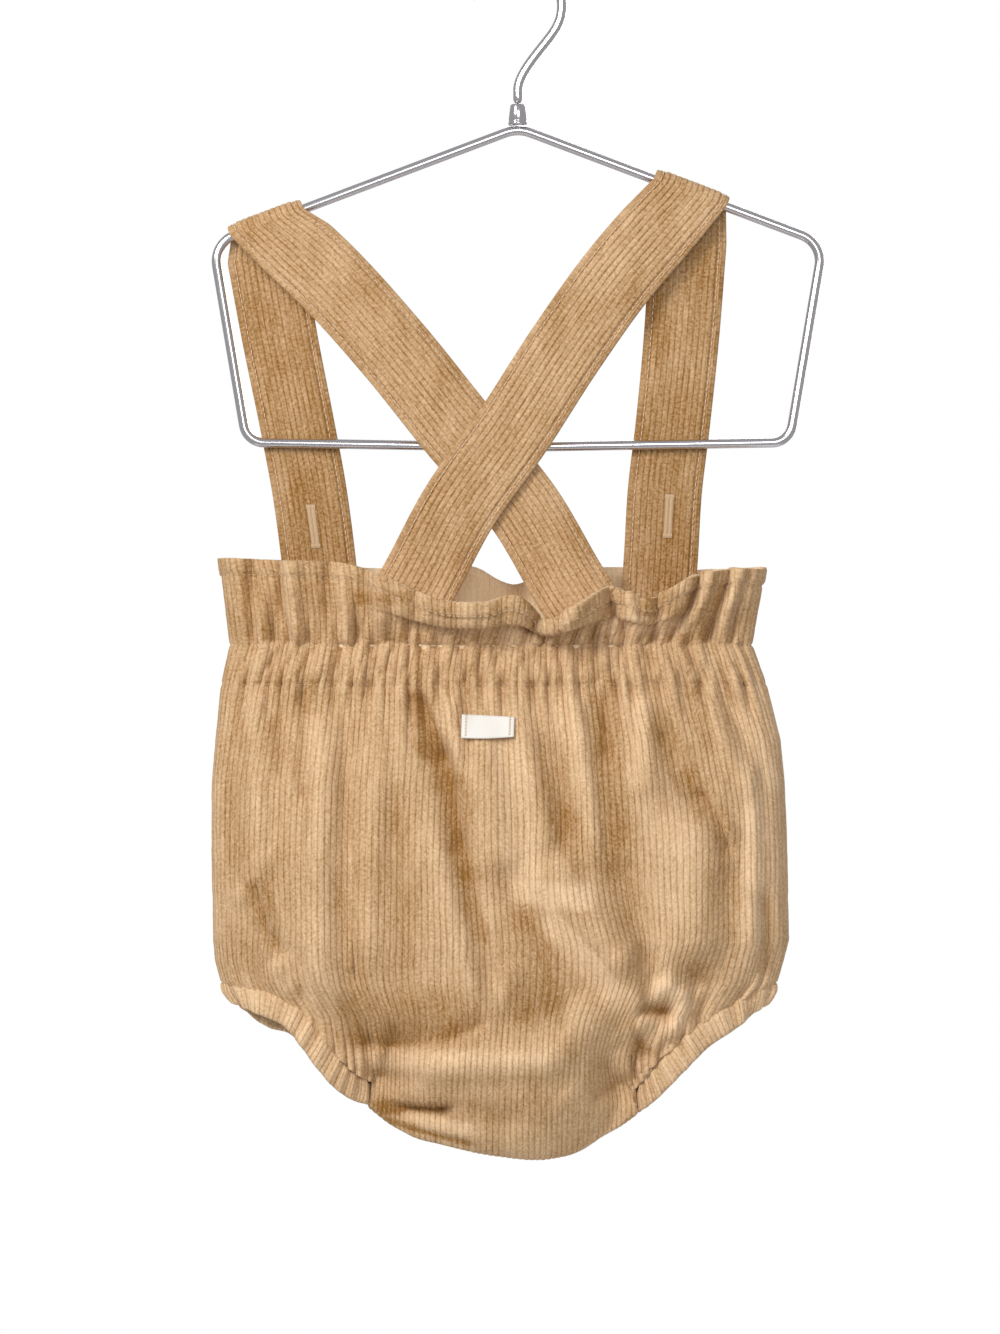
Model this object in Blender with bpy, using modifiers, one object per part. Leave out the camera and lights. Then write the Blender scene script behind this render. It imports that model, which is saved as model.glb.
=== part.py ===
"""A baby's corduroy bloomer romper with crossed straps, hung on a plain wire hanger.

The origin is the inside top of the hanger's hook, where a rail carries it. +Z is up, and the back of
the romper faces -Y. Sizes are in millimetres and become metres where a mesh is made.
"""

import math

import bmesh
import bpy
import numpy as np

MM = 0.001

# Driving sizes
CLOTH = 1.5  # thickness of one layer of corduroy
STRAP_CLOTH = 3.0  # a strap is two layers sewn face out
BAND_CLOTH = 2.2  # a leg band is folded over its elastic
LABEL_CLOTH = 1.0
SEAM = 0.3  # gap between two pieces at a seam
BAND_SEAM = 0.5  # gap between a leg band and the panels, whose edges curve
BAND_END = 2.2  # from the end of a leg band at the crotch to the first column of the panels beside it
BODY_CENTRE = -9.0  # the romper hangs this far to one side of the hook
WAIST_HEIGHT = -294.8  # height of the upper stitch line of the waist casing
CASING = 17.0  # depth of the elastic casing below that line
HEADING_DEPTH = 36.0  # depth of the frill above that line
BAND = 11.0  # width of the elastic band round each leg
WAIST_GATHERS = 28  # gathers across the back, and as many across the front
LEG_GATHERS = 22  # gathers round each leg band
LEG_DEPTH = 15.0  # half of a leg opening, from front to back
WIRE = 4.1  # diameter of the hanger's wire
HOOK_BORE = 34.0  # inside diameter of the hook
APEX_HEIGHT = -70.0  # height at which the two shoulders meet
SHOULDER_SLOPE = math.radians(20.7)
SHOULDER_REACH = 132.6
BAR_HEIGHT = -208.7
BAR_REACH = 118.0


def table(columns, *rows):
    """A short table as named columns."""
    return dict(zip(columns.split(), np.array(rows, float).T))


# Outline of the body: half widths to the left and right of its centre, half depths of the back and front,
# and how square the outline is. Depths below the waist are negative in the frill.
SECTIONS = table(
    "below left right back front round",
    (-36, 119.7, 115.5, 17, 16, 3.4),
    (0, 115.3, 109.9, 13, 13, 3.6),
    (17, 119.0, 116.0, 16, 15, 3.4),
    (41, 122.3, 122.0, 23, 20, 3.0),
    (60, 124.5, 123.8, 27, 23, 2.8),
    (93, 124.5, 125.1, 30, 25, 2.7),
    (128, 124.0, 126.0, 30, 26, 2.7),
    (137, 122.3, 123.8, 29, 26, 2.7),
    (145.7, 119.7, 121.3, 28, 25, 2.7),
    (160, 112.0, 113.0, 27, 24, 2.7),
    (223, 106.0, 107.0, 24, 22, 2.7),
)
# Open edges of the legs from the side seam to the crotch, with how much lower the front hangs than the back
LEGS = {
    "left": table(
        "x below sag",
        (-112.7, 155.2, 0), (-107.5, 158.1, 2), (-99.7, 160.9, 5), (-91.4, 164.9, 5), (-85.8, 171.7, 3),
        (-77.1, 183.4, 0), (-70.6, 191.0, 0), (-64, 196.1, 0), (-56.2, 199.6, 0),
    ),
    "right": table(
        "x below sag",
        (115.1, 156.1, 0), (105.5, 164.3, 0), (92.5, 173.5, 0), (79.4, 185.2, 0), (66.4, 198.7, 0),
        (61.2, 203, 0),
    ),
}
CROTCH = table(
    "x below",
    (-54.1, 202.0), (-44.5, 209.5), (-38, 213), (-24.9, 216.5), (1.2, 221.7), (20.7, 223), (33.8, 220.4),
    (46.8, 213), (55.5, 207.4), (59.0, 205),
)
# The way across a leg band, in degrees above level, at the side seam, along the leg and at the crotch
BAND_TURN = {"left": (126, 52, 92), "right": (61, 131, 88)}
# Height of the frill's top edge along the waist, and how far that edge flops outwards
FRILL = {
    "back": table(
        "x height flop",
        (-119.7, 37.8, 0), (-92, 36.5, 1), (-64, 34.8, 4), (-48.8, 29.6, 8), (-35.8, 23.9, 14),
        (-25, 19.6, 18), (-5.3, 18.3, 20), (9.9, 20.5, 18), (20, 11, 17), (33.8, 17, 16), (48, 25, 11),
        (64.2, 19.8, 13), (84, 29.6, 7), (102, 33, 3), (115.5, 33, 0),
    ),
    "front": table(
        "x height flop",
        (-119.7, 36, 0), (-70, 34, 6), (-56, 34, 5), (-24, 33, 5), (-12, 35, 5), (6, 27, 11), (22, 31, 8),
        (40, 34, 5), (75, 33, 6), (115.5, 34, 0),
    ),
}
# Folds: each runs from its top to its low end as a soft ridge, or as a trough where its height is negative
FOLDS = {
    "back": table(
        "x_top top x_low low width height",
        (-34.5, 20.4, -21.9, 56.5, 9, -4.5),
        (-21.9, 56.5, -4, 123.9, 10, -4.5),
        (3.3, 43.5, 20.7, 93.5, 9, 4.5),
        (20.7, 93.5, 60.3, 158.7, 12, 5),
        (22.9, 34.8, 39.4, 97.8, 7, -3),
        (41.2, 19.6, 45.5, 54.3, 7, -3),
        (62, 30.4, 68.6, 80.4, 9, 3.5),
        (79.4, 67.4, 85.5, 128.3, 15, 4.5),
        (71.6, 39.1, 94.7, 84.8, 8, -3.5),
        (100.3, 89.1, 103.8, 123.9, 6, -3.5),
        (104.7, 128.3, 95, 160, 6, -4),
        (-84.9, 19.6, -83.2, 58.7, 6, -3),
        (-74.5, 41.3, -76.2, 154.3, 9, 3),
        (-64, 19.6, -64.9, 135, 8, -2.5),
        (-33.6, 93.5, -28.4, 147.8, 14, 3),
        (-58.8, 145.8, -61, 166, 8, -2.5),
        (-56, 170.9, -11.9, 163, 8, -4),
        (-56, 180.4, 27.3, 177, 7, 4.5),
        (20.7, 132.6, 27.3, 164, 11, -2.5),
        (56.6, 154, 78, 157, 7, -4),
        (50.2, 165, 60, 177, 7, -3.5),
        (-104.9, 102.2, -91, 132.6, 6, -4),
    ),
    "front": table(
        "x_top top x_low low width height",
        (-96, 28, -104, 120, 9, 3.5),
        (-74, 24, -78, 140, 9, -4.5),
        (-52, 30, -46, 110, 11, 4),
        (-30, 22, -36, 150, 9, -5),
        (-4, 30, 4, 130, 12, 4),
        (20, 24, 24, 110, 8, -4.5),
        (46, 28, 40, 140, 10, 4),
        (66, 22, 76, 120, 8, -4.5),
        (92, 28, 100, 130, 10, 3.5),
        (-44, 172, 40, 178, 8, 4.5),
        (-60, 146, -38, 160, 9, -3),
        (66, 146, 42, 160, 9, -3),
    ),
}
# Middle lines of the straps' runs: from the back waist up to the hanger, and from there to the front waist
STRAPS = {
    "strap_left": {
        "wire": -109.0,
        "back": table(
            "x height depth width",
            (38, -292.6, -8.6, 32), (23.5, -270.9, -7.6, 32), (3, -236.1, -5.4, 32),
            (-26.1, -201.3, -5.2, 33), (-54.1, -166.5, -4.6, 33), (-85.7, -131.7, -3.9, 33),
            (-97.5, -120.6, -3.9, 33),
        ),
        "front": table(
            "x height depth width",
            (-110.2, -123, 3.9, 33), (-104.3, -157.8, 4.0, 32), (-95.7, -201.3, 4.4, 31.5),
            (-90.9, -227.4, 5.2, 31.5), (-87.4, -253.5, 6.4, 31.5), (-83.9, -290, 7.4, 31.5),
            (-82, -318, 8.2, 31.5),
        ),
    },
    "strap_right": {
        "wire": 74.8,
        "back": table(
            "x height depth width",
            (-57.8, -292.6, -8.6, 33), (-43.5, -268.7, -8.7, 33), (-26.1, -236.1, -8.9, 33),
            (-1.7, -201.3, -8.9, 33), (20.7, -166.5, -7.4, 33), (45.7, -131.7, -5.0, 33),
            (60, -115, -4.1, 33),
        ),
        "front": table(
            "x height depth width",
            (74.2, -116, 3.9, 33), (71.5, -157.8, 4.0, 32), (67.2, -201.3, 4.4, 31.5),
            (64.1, -227.4, 5.2, 31.5), (62.6, -253.5, 6.4, 31.5), (60.3, -290, 7.4, 31.5),
            (59, -318, 8.2, 31.5),
        ),
    },
}
BUTTON = {"diameter": 15.0, "thickness": 2.6, "height": -305.0}
LABEL = {"left": -16.5, "right": 9.0, "top": 29.6, "height": 12.0, "stand_off": 2.0}

PANEL_COLUMNS = 88
FRILL_ROWS = (1.0, 0.75, 0.45, 0.2)
CASING_ROWS = (0.0, 0.5, 1.0)
BODY_ROWS = (0.12, 0.26, 0.42, 0.58, 0.74, 0.88, 1.0)
EDGE_ROWS = (10.0, 3.5, 0.0)  # distances above the lower edge
ROW_GAP = 9.0  # from the last of the body rows to the first of the edge rows
BAND_COLUMNS = 80

# How far the cloth takes to come in to its lower edges, and how high its gathers and seams puff up
LEG_REACH = 45.0
CROTCH_REACH = 26.0
CROTCH_BLEND = 38.0
WAIST_WAVE = 1.6
WAIST_FADE = 30.0
LEG_WAVE = 1.0
LEG_FADE = 12.0
CASING_CROWN = 0.8
FRILL_WAVE = 2.6


def curve_through(at, x, y):
    """A smooth curve through a table's points, read at the places `at` (a cubic with averaged slopes)."""
    slope = np.gradient(y, x)
    i = np.clip(np.searchsorted(x, at) - 1, 0, len(x) - 2)
    wide = x[i + 1] - x[i]
    s = np.clip((at - x[i]) / wide, 0, 1)
    return (
        y[i] * (1 + 2 * s) * (1 - s) ** 2
        + y[i + 1] * s * s * (3 - 2 * s)
        + wide * s * (1 - s) * (slope[i] * (1 - s) - slope[i + 1] * s)
    )


def ease(s):
    """Rises smoothly from 0 to 1 as s does."""
    s = np.clip(s, 0, 1)
    return s * s * (3 - 2 * s)


def along(line, count):
    """Points evenly spaced along the polyline of a table's columns."""
    points = np.stack(list(line.values()), axis=1)
    run = np.concatenate([[0], np.cumsum(np.linalg.norm(np.diff(points, axis=0), axis=1))])
    at = np.linspace(0, run[-1], count)
    return np.stack([curve_through(at, run, points[:, k]) for k in range(points.shape[1])], axis=1)


def band_way(side, q):
    """Unit vectors (x, z) across a leg band, from its open edge to the body, at shares q of its length."""
    at_side, middle, at_crotch = BAND_TURN[side]
    turn = np.radians(middle + (at_side - middle) * (1 - q) ** 4 + (at_crotch - middle) * q**4)
    return np.stack([np.cos(turn), np.sin(turn)], axis=-1)


def leg_curve(side, q, shift, is_front):
    """Points (x, below) along a leg at shares q, `shift` above the open edge; the front sags lower."""
    line = along(LEGS[side], 41)
    share = np.linspace(0, 1, len(line))
    x, below, sag = (np.interp(q, share, column) for column in line.T)
    edge = np.stack([x, below + sag * is_front], axis=-1)
    return edge + shift * band_way(side, q) * (1, -1)


def leg_square(side, q, is_front):
    """Unit vectors (x, y, z), in the plane of the seams, square to a leg band's seam with the panels."""
    step = 0.005
    ahead, behind = (leg_curve(side, np.clip(q + d, 0, 1), BAND, is_front) for d in (step, -step))
    run = (ahead - behind) * (1, -1)
    run /= np.linalg.norm(run, axis=1)[:, None]
    return np.stack([-run[:, 1], 0 * q, run[:, 0]], axis=1)


def leg_shares(side, is_front):
    """x along a panel's edge at a leg, rising, and the share of the leg's length there."""
    q = np.linspace(0, 1, 41)
    x = leg_curve(side, q, BAND + BAND_SEAM, is_front)[:, 0]
    return (x, q) if side == "left" else (x[::-1], q[::-1])


def lower_edge(is_front):
    """The lower edge of a panel from left to right, as a table.

    Its columns are x, the depth below the waist, and how far the edge stands out from the plane of the seams.
    """
    q = np.linspace(0, 1, 41)
    parts = []
    for side, inward in (("left", 1), ("right", -1)):
        x, below = leg_curve(side, q, BAND + BAND_SEAM, is_front).T
        leg = np.stack([x, below, 2 * LEG_DEPTH * np.sqrt(q * (1 - q))], axis=1)
        corner = leg[-1] + (inward * BAND_END, 0, 0)
        parts.append(np.concatenate([leg, [corner]])[::inward])
    crotch_x = np.linspace(CROTCH["x"][0], CROTCH["x"][-1], 241)
    seam = np.stack([crotch_x, np.interp(crotch_x, CROTCH["x"], CROTCH["below"]), 0 * crotch_x], axis=1)
    parts.insert(1, seam)
    return table("x below stands", *np.concatenate(parts))


def ring_places(count):
    """Places across a flattened ring from -1 to 1, evenly spaced along its length."""
    turn = np.linspace(0, np.pi, 721)
    x = -np.sign(np.cos(turn)) * np.abs(np.cos(turn)) ** 0.7
    y = 0.22 * np.sin(turn) ** 0.7
    run = np.concatenate([[0], np.cumsum(np.hypot(np.diff(x), np.diff(y)))])
    return np.interp(np.linspace(0, run[-1], count), run, x)


def gather_wave(place, count):
    """A wave with `count` crests for place 0 to 1, unevenly spaced as gathers are."""
    phase = count * place + 0.32 * np.sin(2 * np.pi * 3 * place) + 0.18 * np.sin(2 * np.pi * 8 * place + 1)
    return np.cos(2 * np.pi * phase)


def fold_height(name, x, below):
    """Sum of a panel's folds: each is a bell across its line that fades at both ends."""
    total = np.zeros_like(x)
    for x_top, top, x_low, low, width, height in zip(*FOLDS[name].values()):
        dx, drop = x_low - x_top, low - top
        length = math.hypot(dx, drop)
        share = ((x - x_top) * dx + (below - top) * drop) / length**2
        off = ((x - x_top) * drop - (below - top) * dx) / length
        ends = ease((share + 0.12) / 0.3) * ease((1.12 - share) / 0.3)
        total += height * np.exp(-((off / width) ** 2)) * ends
    return total


def section(below, place, name):
    """Where a place across the body lies: x, and the depth of the smooth outline there."""
    columns = ("left", "right", name, "round")
    left, right, half, power = (np.interp(below, SECTIONS["below"], SECTIONS[k]) for k in columns)
    x = (right - left) / 2 + place * (right + left) / 2
    return x, half * (1 - np.abs(place) ** power) ** (1 / power)


def panel_points(name):
    """The middle surface of the back or front panel, frill included, as rows by columns of x, y, z.

    A column follows one line of the cloth, from the frill's top edge to the leg edge or the crotch seam.
    With the points come the directions square to the seams at the leg bands, for the wall's lower rim.
    """
    is_front = name == "front"
    place = ring_places(PANEL_COLUMNS + 1)
    low_edge = lower_edge(is_front)

    def lowest(place):
        below = np.full_like(place, 160.0)
        for _ in range(30):
            below = np.interp(section(below, place, name)[0], low_edge["x"], low_edge["below"])
        return below

    # One column ends beside the crotch end of each leg band
    for side, inward in (("left", 1), ("right", -1)):
        end_x, end_below = leg_curve(side, 1.0, BAND + BAND_SEAM, is_front)
        end_x += inward * (BAND_END - 0.05)
        left, right = section(end_below, np.array([-1.0, 1.0]), name)[0]
        end_place = 2 * (end_x - left) / (right - left) - 1
        place[np.argmin(np.abs(place - end_place))] = end_place
    spread = (place + 1) / 2
    calm = ease(1.15 * (1 - np.abs(place)) / 0.1)
    bottom = lowest(place)
    bottom_x = section(bottom, place, name)[0]
    on_seam = (bottom_x > CROTCH["x"][0] - 0.1) & (bottom_x < CROTCH["x"][-1] + 0.1)

    casing = np.array(CASING_ROWS)[:, None] * CASING * np.ones_like(place)
    smooth = np.convolve(np.pad(bottom, 6, mode="edge"), np.ones(13) / 13, mode="valid")
    down = np.array(BODY_ROWS)[:, None]
    last = smooth + (bottom - smooth) * down**10 - EDGE_ROWS[0] - ROW_GAP
    body = CASING + down * (last - CASING)
    edge = bottom - np.array(EDGE_ROWS)[:, None]
    below = np.concatenate([casing, body, edge])
    x, full = section(below, place, name)
    # Near its lower edge the cloth comes in to the leg band, or rounds under to the crotch seam
    away = np.hypot(x[..., None] - low_edge["x"], below[..., None] - low_edge["below"])
    nearest = away.argmin(axis=2)
    left_over = np.where(on_seam, np.minimum(away.min(axis=2), bottom - below), bottom - below)
    from_leg = np.minimum(x - CROTCH["x"][0], CROTCH["x"][-1] - x)
    own_stand = np.interp(bottom_x, low_edge["x"], low_edge["stands"])
    stands = np.where(on_seam, low_edge["stands"][nearest] * (1 - ease(from_leg / 12)), own_stand)
    round_there = np.where(on_seam, ease(from_leg / CROTCH_BLEND), 0)
    gentle = ease(left_over / LEG_REACH)
    under = np.sqrt(1 - (1 - np.clip(left_over / CROTCH_REACH, 0, 1)) ** 2) * (0.8 + 0.2 * gentle)
    rise = gentle * (1 - round_there) + under * round_there
    depth = np.minimum(stands + (full - stands) * rise, full)
    for _ in range(3):
        depth[-6:-2, 1:-1] = (depth[-6:-2, :-2] + 2 * depth[-6:-2, 1:-1] + depth[-6:-2, 2:]) / 4
    # Gathers run out of the casing and the leg bands, and the folds fade at the seams
    waist = WAIST_WAVE * np.exp(-np.clip(below - CASING, 0, None) / WAIST_FADE) * ease(left_over / 20)
    turn = np.arcsin(np.clip(stands / LEG_DEPTH, 0, 1)) / (2 * np.pi)
    leg = LEG_WAVE * np.clip(stands / 4, 0, 1) * np.exp(-left_over / LEG_FADE)
    crown = CASING_CROWN * np.sin(np.pi * np.clip(below / CASING, 0, 1))
    folds = fold_height(name, x, below) * ease(left_over / CROTCH_REACH) * ease((below - CASING) / 14)
    depth = depth + calm * (
        waist * gather_wave(spread, WAIST_GATHERS) + leg * gather_wave(turn, LEG_GATHERS) + crown + folds
    )
    height = -below

    rise = np.array(FRILL_ROWS)[:, None]
    frill_x, full = section(-HEADING_DEPTH * rise, place, name)
    top, flop = (curve_through(frill_x, FRILL[name]["x"], FRILL[name][k]) for k in ("height", "flop"))
    small = WAIST_WAVE * (1 - rise) * gather_wave(spread, WAIST_GATHERS)
    large = FRILL_WAVE * rise * np.sin(2 * np.pi * (7.5 * spread + 0.3 * np.sin(2 * np.pi * 2 * spread)))
    frill = full + calm * (flop * rise**1.4 + small + large)

    x = np.concatenate([frill_x, x])
    depth = np.maximum(np.concatenate([frill, depth]), SEAM / 2 + CLOTH / 2)
    depth[:, [0, -1]] = SEAM / 2
    depth[-1, on_seam] -= CLOTH / 2 * round_there[-1, on_seam]
    height = np.concatenate([top * rise, height])
    points = np.stack([x + BODY_CENTRE, depth * (1 if is_front else -1), WAIST_HEIGHT + height], axis=-1)

    # The rims along the leg bands follow the seam
    across = np.zeros_like(points)
    for side, here in (("left", bottom_x < 0), ("right", bottom_x > 0)):
        q = np.clip(np.interp(bottom_x, *leg_shares(side, is_front)), 0, 1)
        across[-1, here & ~on_seam] = leg_square(side, q, is_front)[here & ~on_seam]
    return points, across


def leg_band_points(side):
    """The middle surface of the band round one leg, a flattened ring, from the panels to its open edge."""
    lead = -1 if side == "left" else 1
    turn = np.linspace(0, 2 * np.pi, BAND_COLUMNS, endpoint=False)
    q = (1 - np.cos(turn)) / 2
    is_front = lead * np.sin(turn) > 0
    points, ways = [], []
    for across in (1.0, 0.5, 0.0):
        x, below = leg_curve(side, q, across * BAND, is_front).T
        wave = LEG_WAVE * gather_wave(turn / (2 * np.pi), LEG_GATHERS)
        swell = CASING_CROWN * math.sin(math.pi * across) + wave
        y = lead * (LEG_DEPTH + swell) * np.sin(turn)
        points.append(np.stack([x + BODY_CENTRE, y, WAIST_HEIGHT - below], axis=-1))
        ways.append(leg_square(side, q, is_front))
    return np.array(points), np.array(ways)


def strap_points(plan):
    """The middle surface of a strap: rows of 3 points, from the back waist over the wire to the front waist.

    The rows lie square to the strap on its runs, and along the wire where it folds over it.
    """
    lean = math.copysign(1, -plan["wire"]) * SHOULDER_SLOPE
    wire_way = np.array([math.cos(lean), math.sin(lean)])
    wire_up = np.array([-math.sin(lean), math.cos(lean)])
    on_wire = np.array([plan["wire"], APEX_HEIGHT - abs(plan["wire"]) * math.tan(SHOULDER_SLOPE)])
    radius = WIRE / 2 + SEAM + STRAP_CLOTH / 2
    bend = []
    for turn in np.linspace(0, math.pi, 7):
        x, height = on_wire + radius * math.sin(turn) * wire_up
        bend.append((x, height, -radius * math.cos(turn), plan["back"]["width"][-1]))
    back, front = (along(plan[k], 13) for k in ("back", "front"))
    line = np.concatenate([back, np.array(bend), front])
    first, last = len(back), len(back) + len(bend)
    tangent = np.gradient(line[:, :2], axis=0)
    tangent[first - 1] = line[first - 1, :2] - line[first - 2, :2]
    tangent[last] = line[last + 1, :2] - line[last, :2]
    tangent[first:last] = wire_up
    tangent /= np.linalg.norm(tangent, axis=1)[:, None]
    square = np.stack([tangent[:, 1], -tangent[:, 0]], axis=1)
    square *= np.sign(square @ wire_way)[:, None]
    near = np.linalg.norm(line[:, :2] - on_wire, axis=1)
    way = square + (wire_way - square) * (1 - ease(near / 60))[:, None]
    way /= np.linalg.norm(way, axis=1)[:, None]
    width = line[:, 3] / np.abs(way[:, 0] * tangent[:, 1] - way[:, 1] * tangent[:, 0])
    rows = []
    for share in (-0.5, 0.0, 0.5):
        edge = line[:, :2] + share * width[:, None] * way
        rows.append(np.stack([edge[:, 0], line[:, 2], edge[:, 1]], axis=1))
    return np.stack(rows, axis=1)


def new_material(name, colour, roughness, metallic=0.0):
    made = bpy.data.materials.new(name)
    made.use_nodes = True
    shader = made.node_tree.nodes["Principled BSDF"]
    shader.inputs["Base Color"].default_value = (*colour, 1)
    shader.inputs["Roughness"].default_value = roughness
    shader.inputs["Metallic"].default_value = metallic
    return made


def new_object(name, data, material, smooth_angle=None):
    made = bpy.data.objects.new(name, data)
    data.materials.append(material)
    PARTS.objects.link(made)
    if smooth_angle is not None:
        data.shade_smooth()
        data.set_sharp_from_angle(angle=math.radians(smooth_angle))
    return made


def cloth(name, points, thickness, material, square_to, side=0):
    """A wall of cloth lofted through rows of points, with half its thickness on either side of them.

    Where square_to gives a direction, the wall's rim lies square to it, so that two pieces meet evenly.
    A wall on one side of the seam plane, 1 for the front and -1 for the back, stays clear of that plane;
    one with side 0 is closed to a ring.
    """
    rows, columns = points.shape[:2]
    ring = side == 0
    grid = np.arange(rows * columns).reshape(rows, columns)
    if ring:
        grid = np.concatenate([grid, grid[:, :1]], axis=1)
    flat = points.reshape(-1, 3)
    high_left, low_left, low_right, high_right = grid[:-1, :-1], grid[1:, :-1], grid[1:, 1:], grid[:-1, 1:]

    # Both faces of the wall are cut along the same, shorter, diagonals
    falling = np.linalg.norm(flat[low_right] - flat[high_left], axis=2)
    rising = np.linalg.norm(flat[high_right] - flat[low_left], axis=2)
    falls = (falling <= rising)[..., None]
    triangles = []
    for fallen, risen in (
        ((high_left, low_left, low_right), (high_left, low_left, high_right)),
        ((high_left, low_right, high_right), (low_left, low_right, high_right)),
    ):
        triangles.append(np.where(falls, np.stack(fallen, axis=2), np.stack(risen, axis=2)))
    triangles = np.array(triangles).reshape(-1, 3)
    a, b, c = (flat[triangles[:, k]] for k in range(3))
    out = np.zeros_like(flat)
    for k in range(3):
        np.add.at(out, triangles[:, k], np.cross(b - a, c - a))
    out /= np.linalg.norm(out, axis=1)[:, None]
    square_to = square_to.reshape(-1, 3)
    out -= (out * square_to).sum(axis=1)[:, None] * square_to
    out /= np.linalg.norm(out, axis=1)[:, None]

    corners = np.concatenate([flat + out * thickness / 2, flat - out * thickness / 2])
    if not ring:
        corners[:, 1] = side * np.maximum(side * corners[:, 1], SEAM / 2)
    rims = [grid[0], grid[-1][::-1]] + ([] if ring else [grid[::-1, 0], grid[:, -1]])
    faces = [*triangles.tolist(), *(triangles[:, ::-1] + len(flat)).tolist()]
    for rim in rims:
        for here, there in zip(rim[:-1].tolist(), rim[1:].tolist()):
            faces.append((here, there, there + len(flat), here + len(flat)))
    mesh = bpy.data.meshes.new(name)
    mesh.from_pydata((corners * MM).tolist(), [], faces)
    return new_object(name, mesh, material, smooth_angle=60)


def strip(name, points, thickness, material):
    """A plain strip of cloth through rows of points, given its thickness by Solidify."""
    rows, columns = points.shape[:2]
    faces = [
        (r * columns + c, (r + 1) * columns + c, (r + 1) * columns + c + 1, r * columns + c + 1)
        for r in range(rows - 1)
        for c in range(columns - 1)
    ]
    mesh = bpy.data.meshes.new(name)
    mesh.from_pydata((points.reshape(-1, 3) * MM).tolist(), [], faces)
    made = new_object(name, mesh, material, smooth_angle=60)
    wall = made.modifiers.new("wall", "SOLIDIFY")
    wall.thickness = thickness * MM
    wall.offset = 0
    return made


def wire(name, points, material, closed=False):
    """A round wire through the points (x, z), in the plane of the hanger."""
    curve = bpy.data.curves.new(name, "CURVE")
    curve.dimensions = "3D"
    curve.bevel_depth = WIRE / 2 * MM
    curve.bevel_resolution = 2
    curve.use_fill_caps = not closed
    spline = curve.splines.new("POLY")
    spline.points.add(len(points) - 1)
    for point, (x, z) in zip(spline.points, points):
        point.co = (x * MM, 0, z * MM, 1)
    spline.use_cyclic_u = closed
    made = bpy.data.objects.new(name, curve)
    curve.materials.append(material)
    PARTS.objects.link(made)
    return made


def rounded(corners, radii, steps=5):
    """A closed outline of straight sides with its corners rounded to arcs."""
    corners = [np.array(c, float) for c in corners]
    points = []
    for i, (corner, radius) in enumerate(zip(corners, radii)):
        before = corners[i - 1] - corner
        after = corners[(i + 1) % len(corners)] - corner
        before /= np.linalg.norm(before)
        after /= np.linalg.norm(after)
        half = math.acos(np.clip(before @ after, -1, 1)) / 2
        middle = (before + after) / np.linalg.norm(before + after)
        centre = corner + middle * radius / math.sin(half)
        start = corner + before * radius / math.tan(half) - centre
        end = corner + after * radius / math.tan(half) - centre
        sweep = math.pi - 2 * half
        for share in np.linspace(0, 1, steps):
            mix = math.sin((1 - share) * sweep) * start + math.sin(share * sweep) * end
            points.append(centre + mix / math.sin(sweep))
    return points


def make_panels():
    for name, side in (("back", -1), ("front", 1)):
        points, square_to = (grid[:, ::-side] for grid in panel_points(name))
        cloth(f"{name}_panel", points, CLOTH, CORDUROY, square_to, side)


def make_leg_bands():
    for side in ("left", "right"):
        points, square_to = leg_band_points(side)
        cloth(f"leg_band_{side}", points, BAND_CLOTH, CORDUROY, square_to)


def make_straps():
    for name, plan in STRAPS.items():
        strip(name, strap_points(plan), STRAP_CLOTH, CORDUROY)


def make_buttons():
    """A button on the inner face of each strap's front end."""
    for name, plan in STRAPS.items():
        front = plan["front"]
        x, y = (float(np.interp(-BUTTON["height"], -front["height"], front[k])) for k in ("x", "depth"))
        made = bmesh.new()
        radius, thick = BUTTON["diameter"] / 2 * MM, BUTTON["thickness"] * MM
        bmesh.ops.create_cone(
            made, cap_ends=True, segments=24, radius1=radius, radius2=radius, depth=thick
        )
        mesh = bpy.data.meshes.new(name.replace("strap", "button"))
        made.to_mesh(mesh)
        made.free()
        button = new_object(mesh.name, mesh, HORN, smooth_angle=40)
        button.rotation_euler = (math.pi / 2, 0, 0)
        inner_face = y - STRAP_CLOTH / 2 - SEAM - BUTTON["thickness"] / 2
        button.location = (x * MM, inner_face * MM, BUTTON["height"] * MM)
        rim = button.modifiers.new("rim", "BEVEL")
        rim.width = 0.6 * MM
        rim.segments = 1
        rim.limit_method = "ANGLE"


def make_label():
    """A woven label sewn on by its ends below the casing, made from the panel's points moved out."""
    points = panel_points("back")[0][len(FRILL_ROWS):]
    x = points[0, :, 0] - BODY_CENTRE
    columns = np.flatnonzero((x > LABEL["left"] - 2) & (x < LABEL["right"] + 2))
    below = LABEL["top"] + np.linspace(0, 1, 4) * LABEL["height"]
    x = np.linspace(LABEL["left"], LABEL["right"], len(columns)) + BODY_CENTRE
    panel = [np.interp(below, WAIST_HEIGHT - points[:, c, 2], -points[:, c, 1]) for c in columns]
    depth = np.stack(panel, axis=1)
    padded = np.pad(depth, ((0, 0), (1, 1)), mode="edge")
    depth = np.maximum(np.maximum(padded[:, :-2], padded[:, 2:]), depth) + LABEL["stand_off"]
    height = WAIST_HEIGHT - below[:, None] * np.ones_like(x)
    strip("label", np.stack([x * np.ones_like(height), -depth, height], axis=-1), LABEL_CLOTH, LABEL_TAPE)


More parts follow.
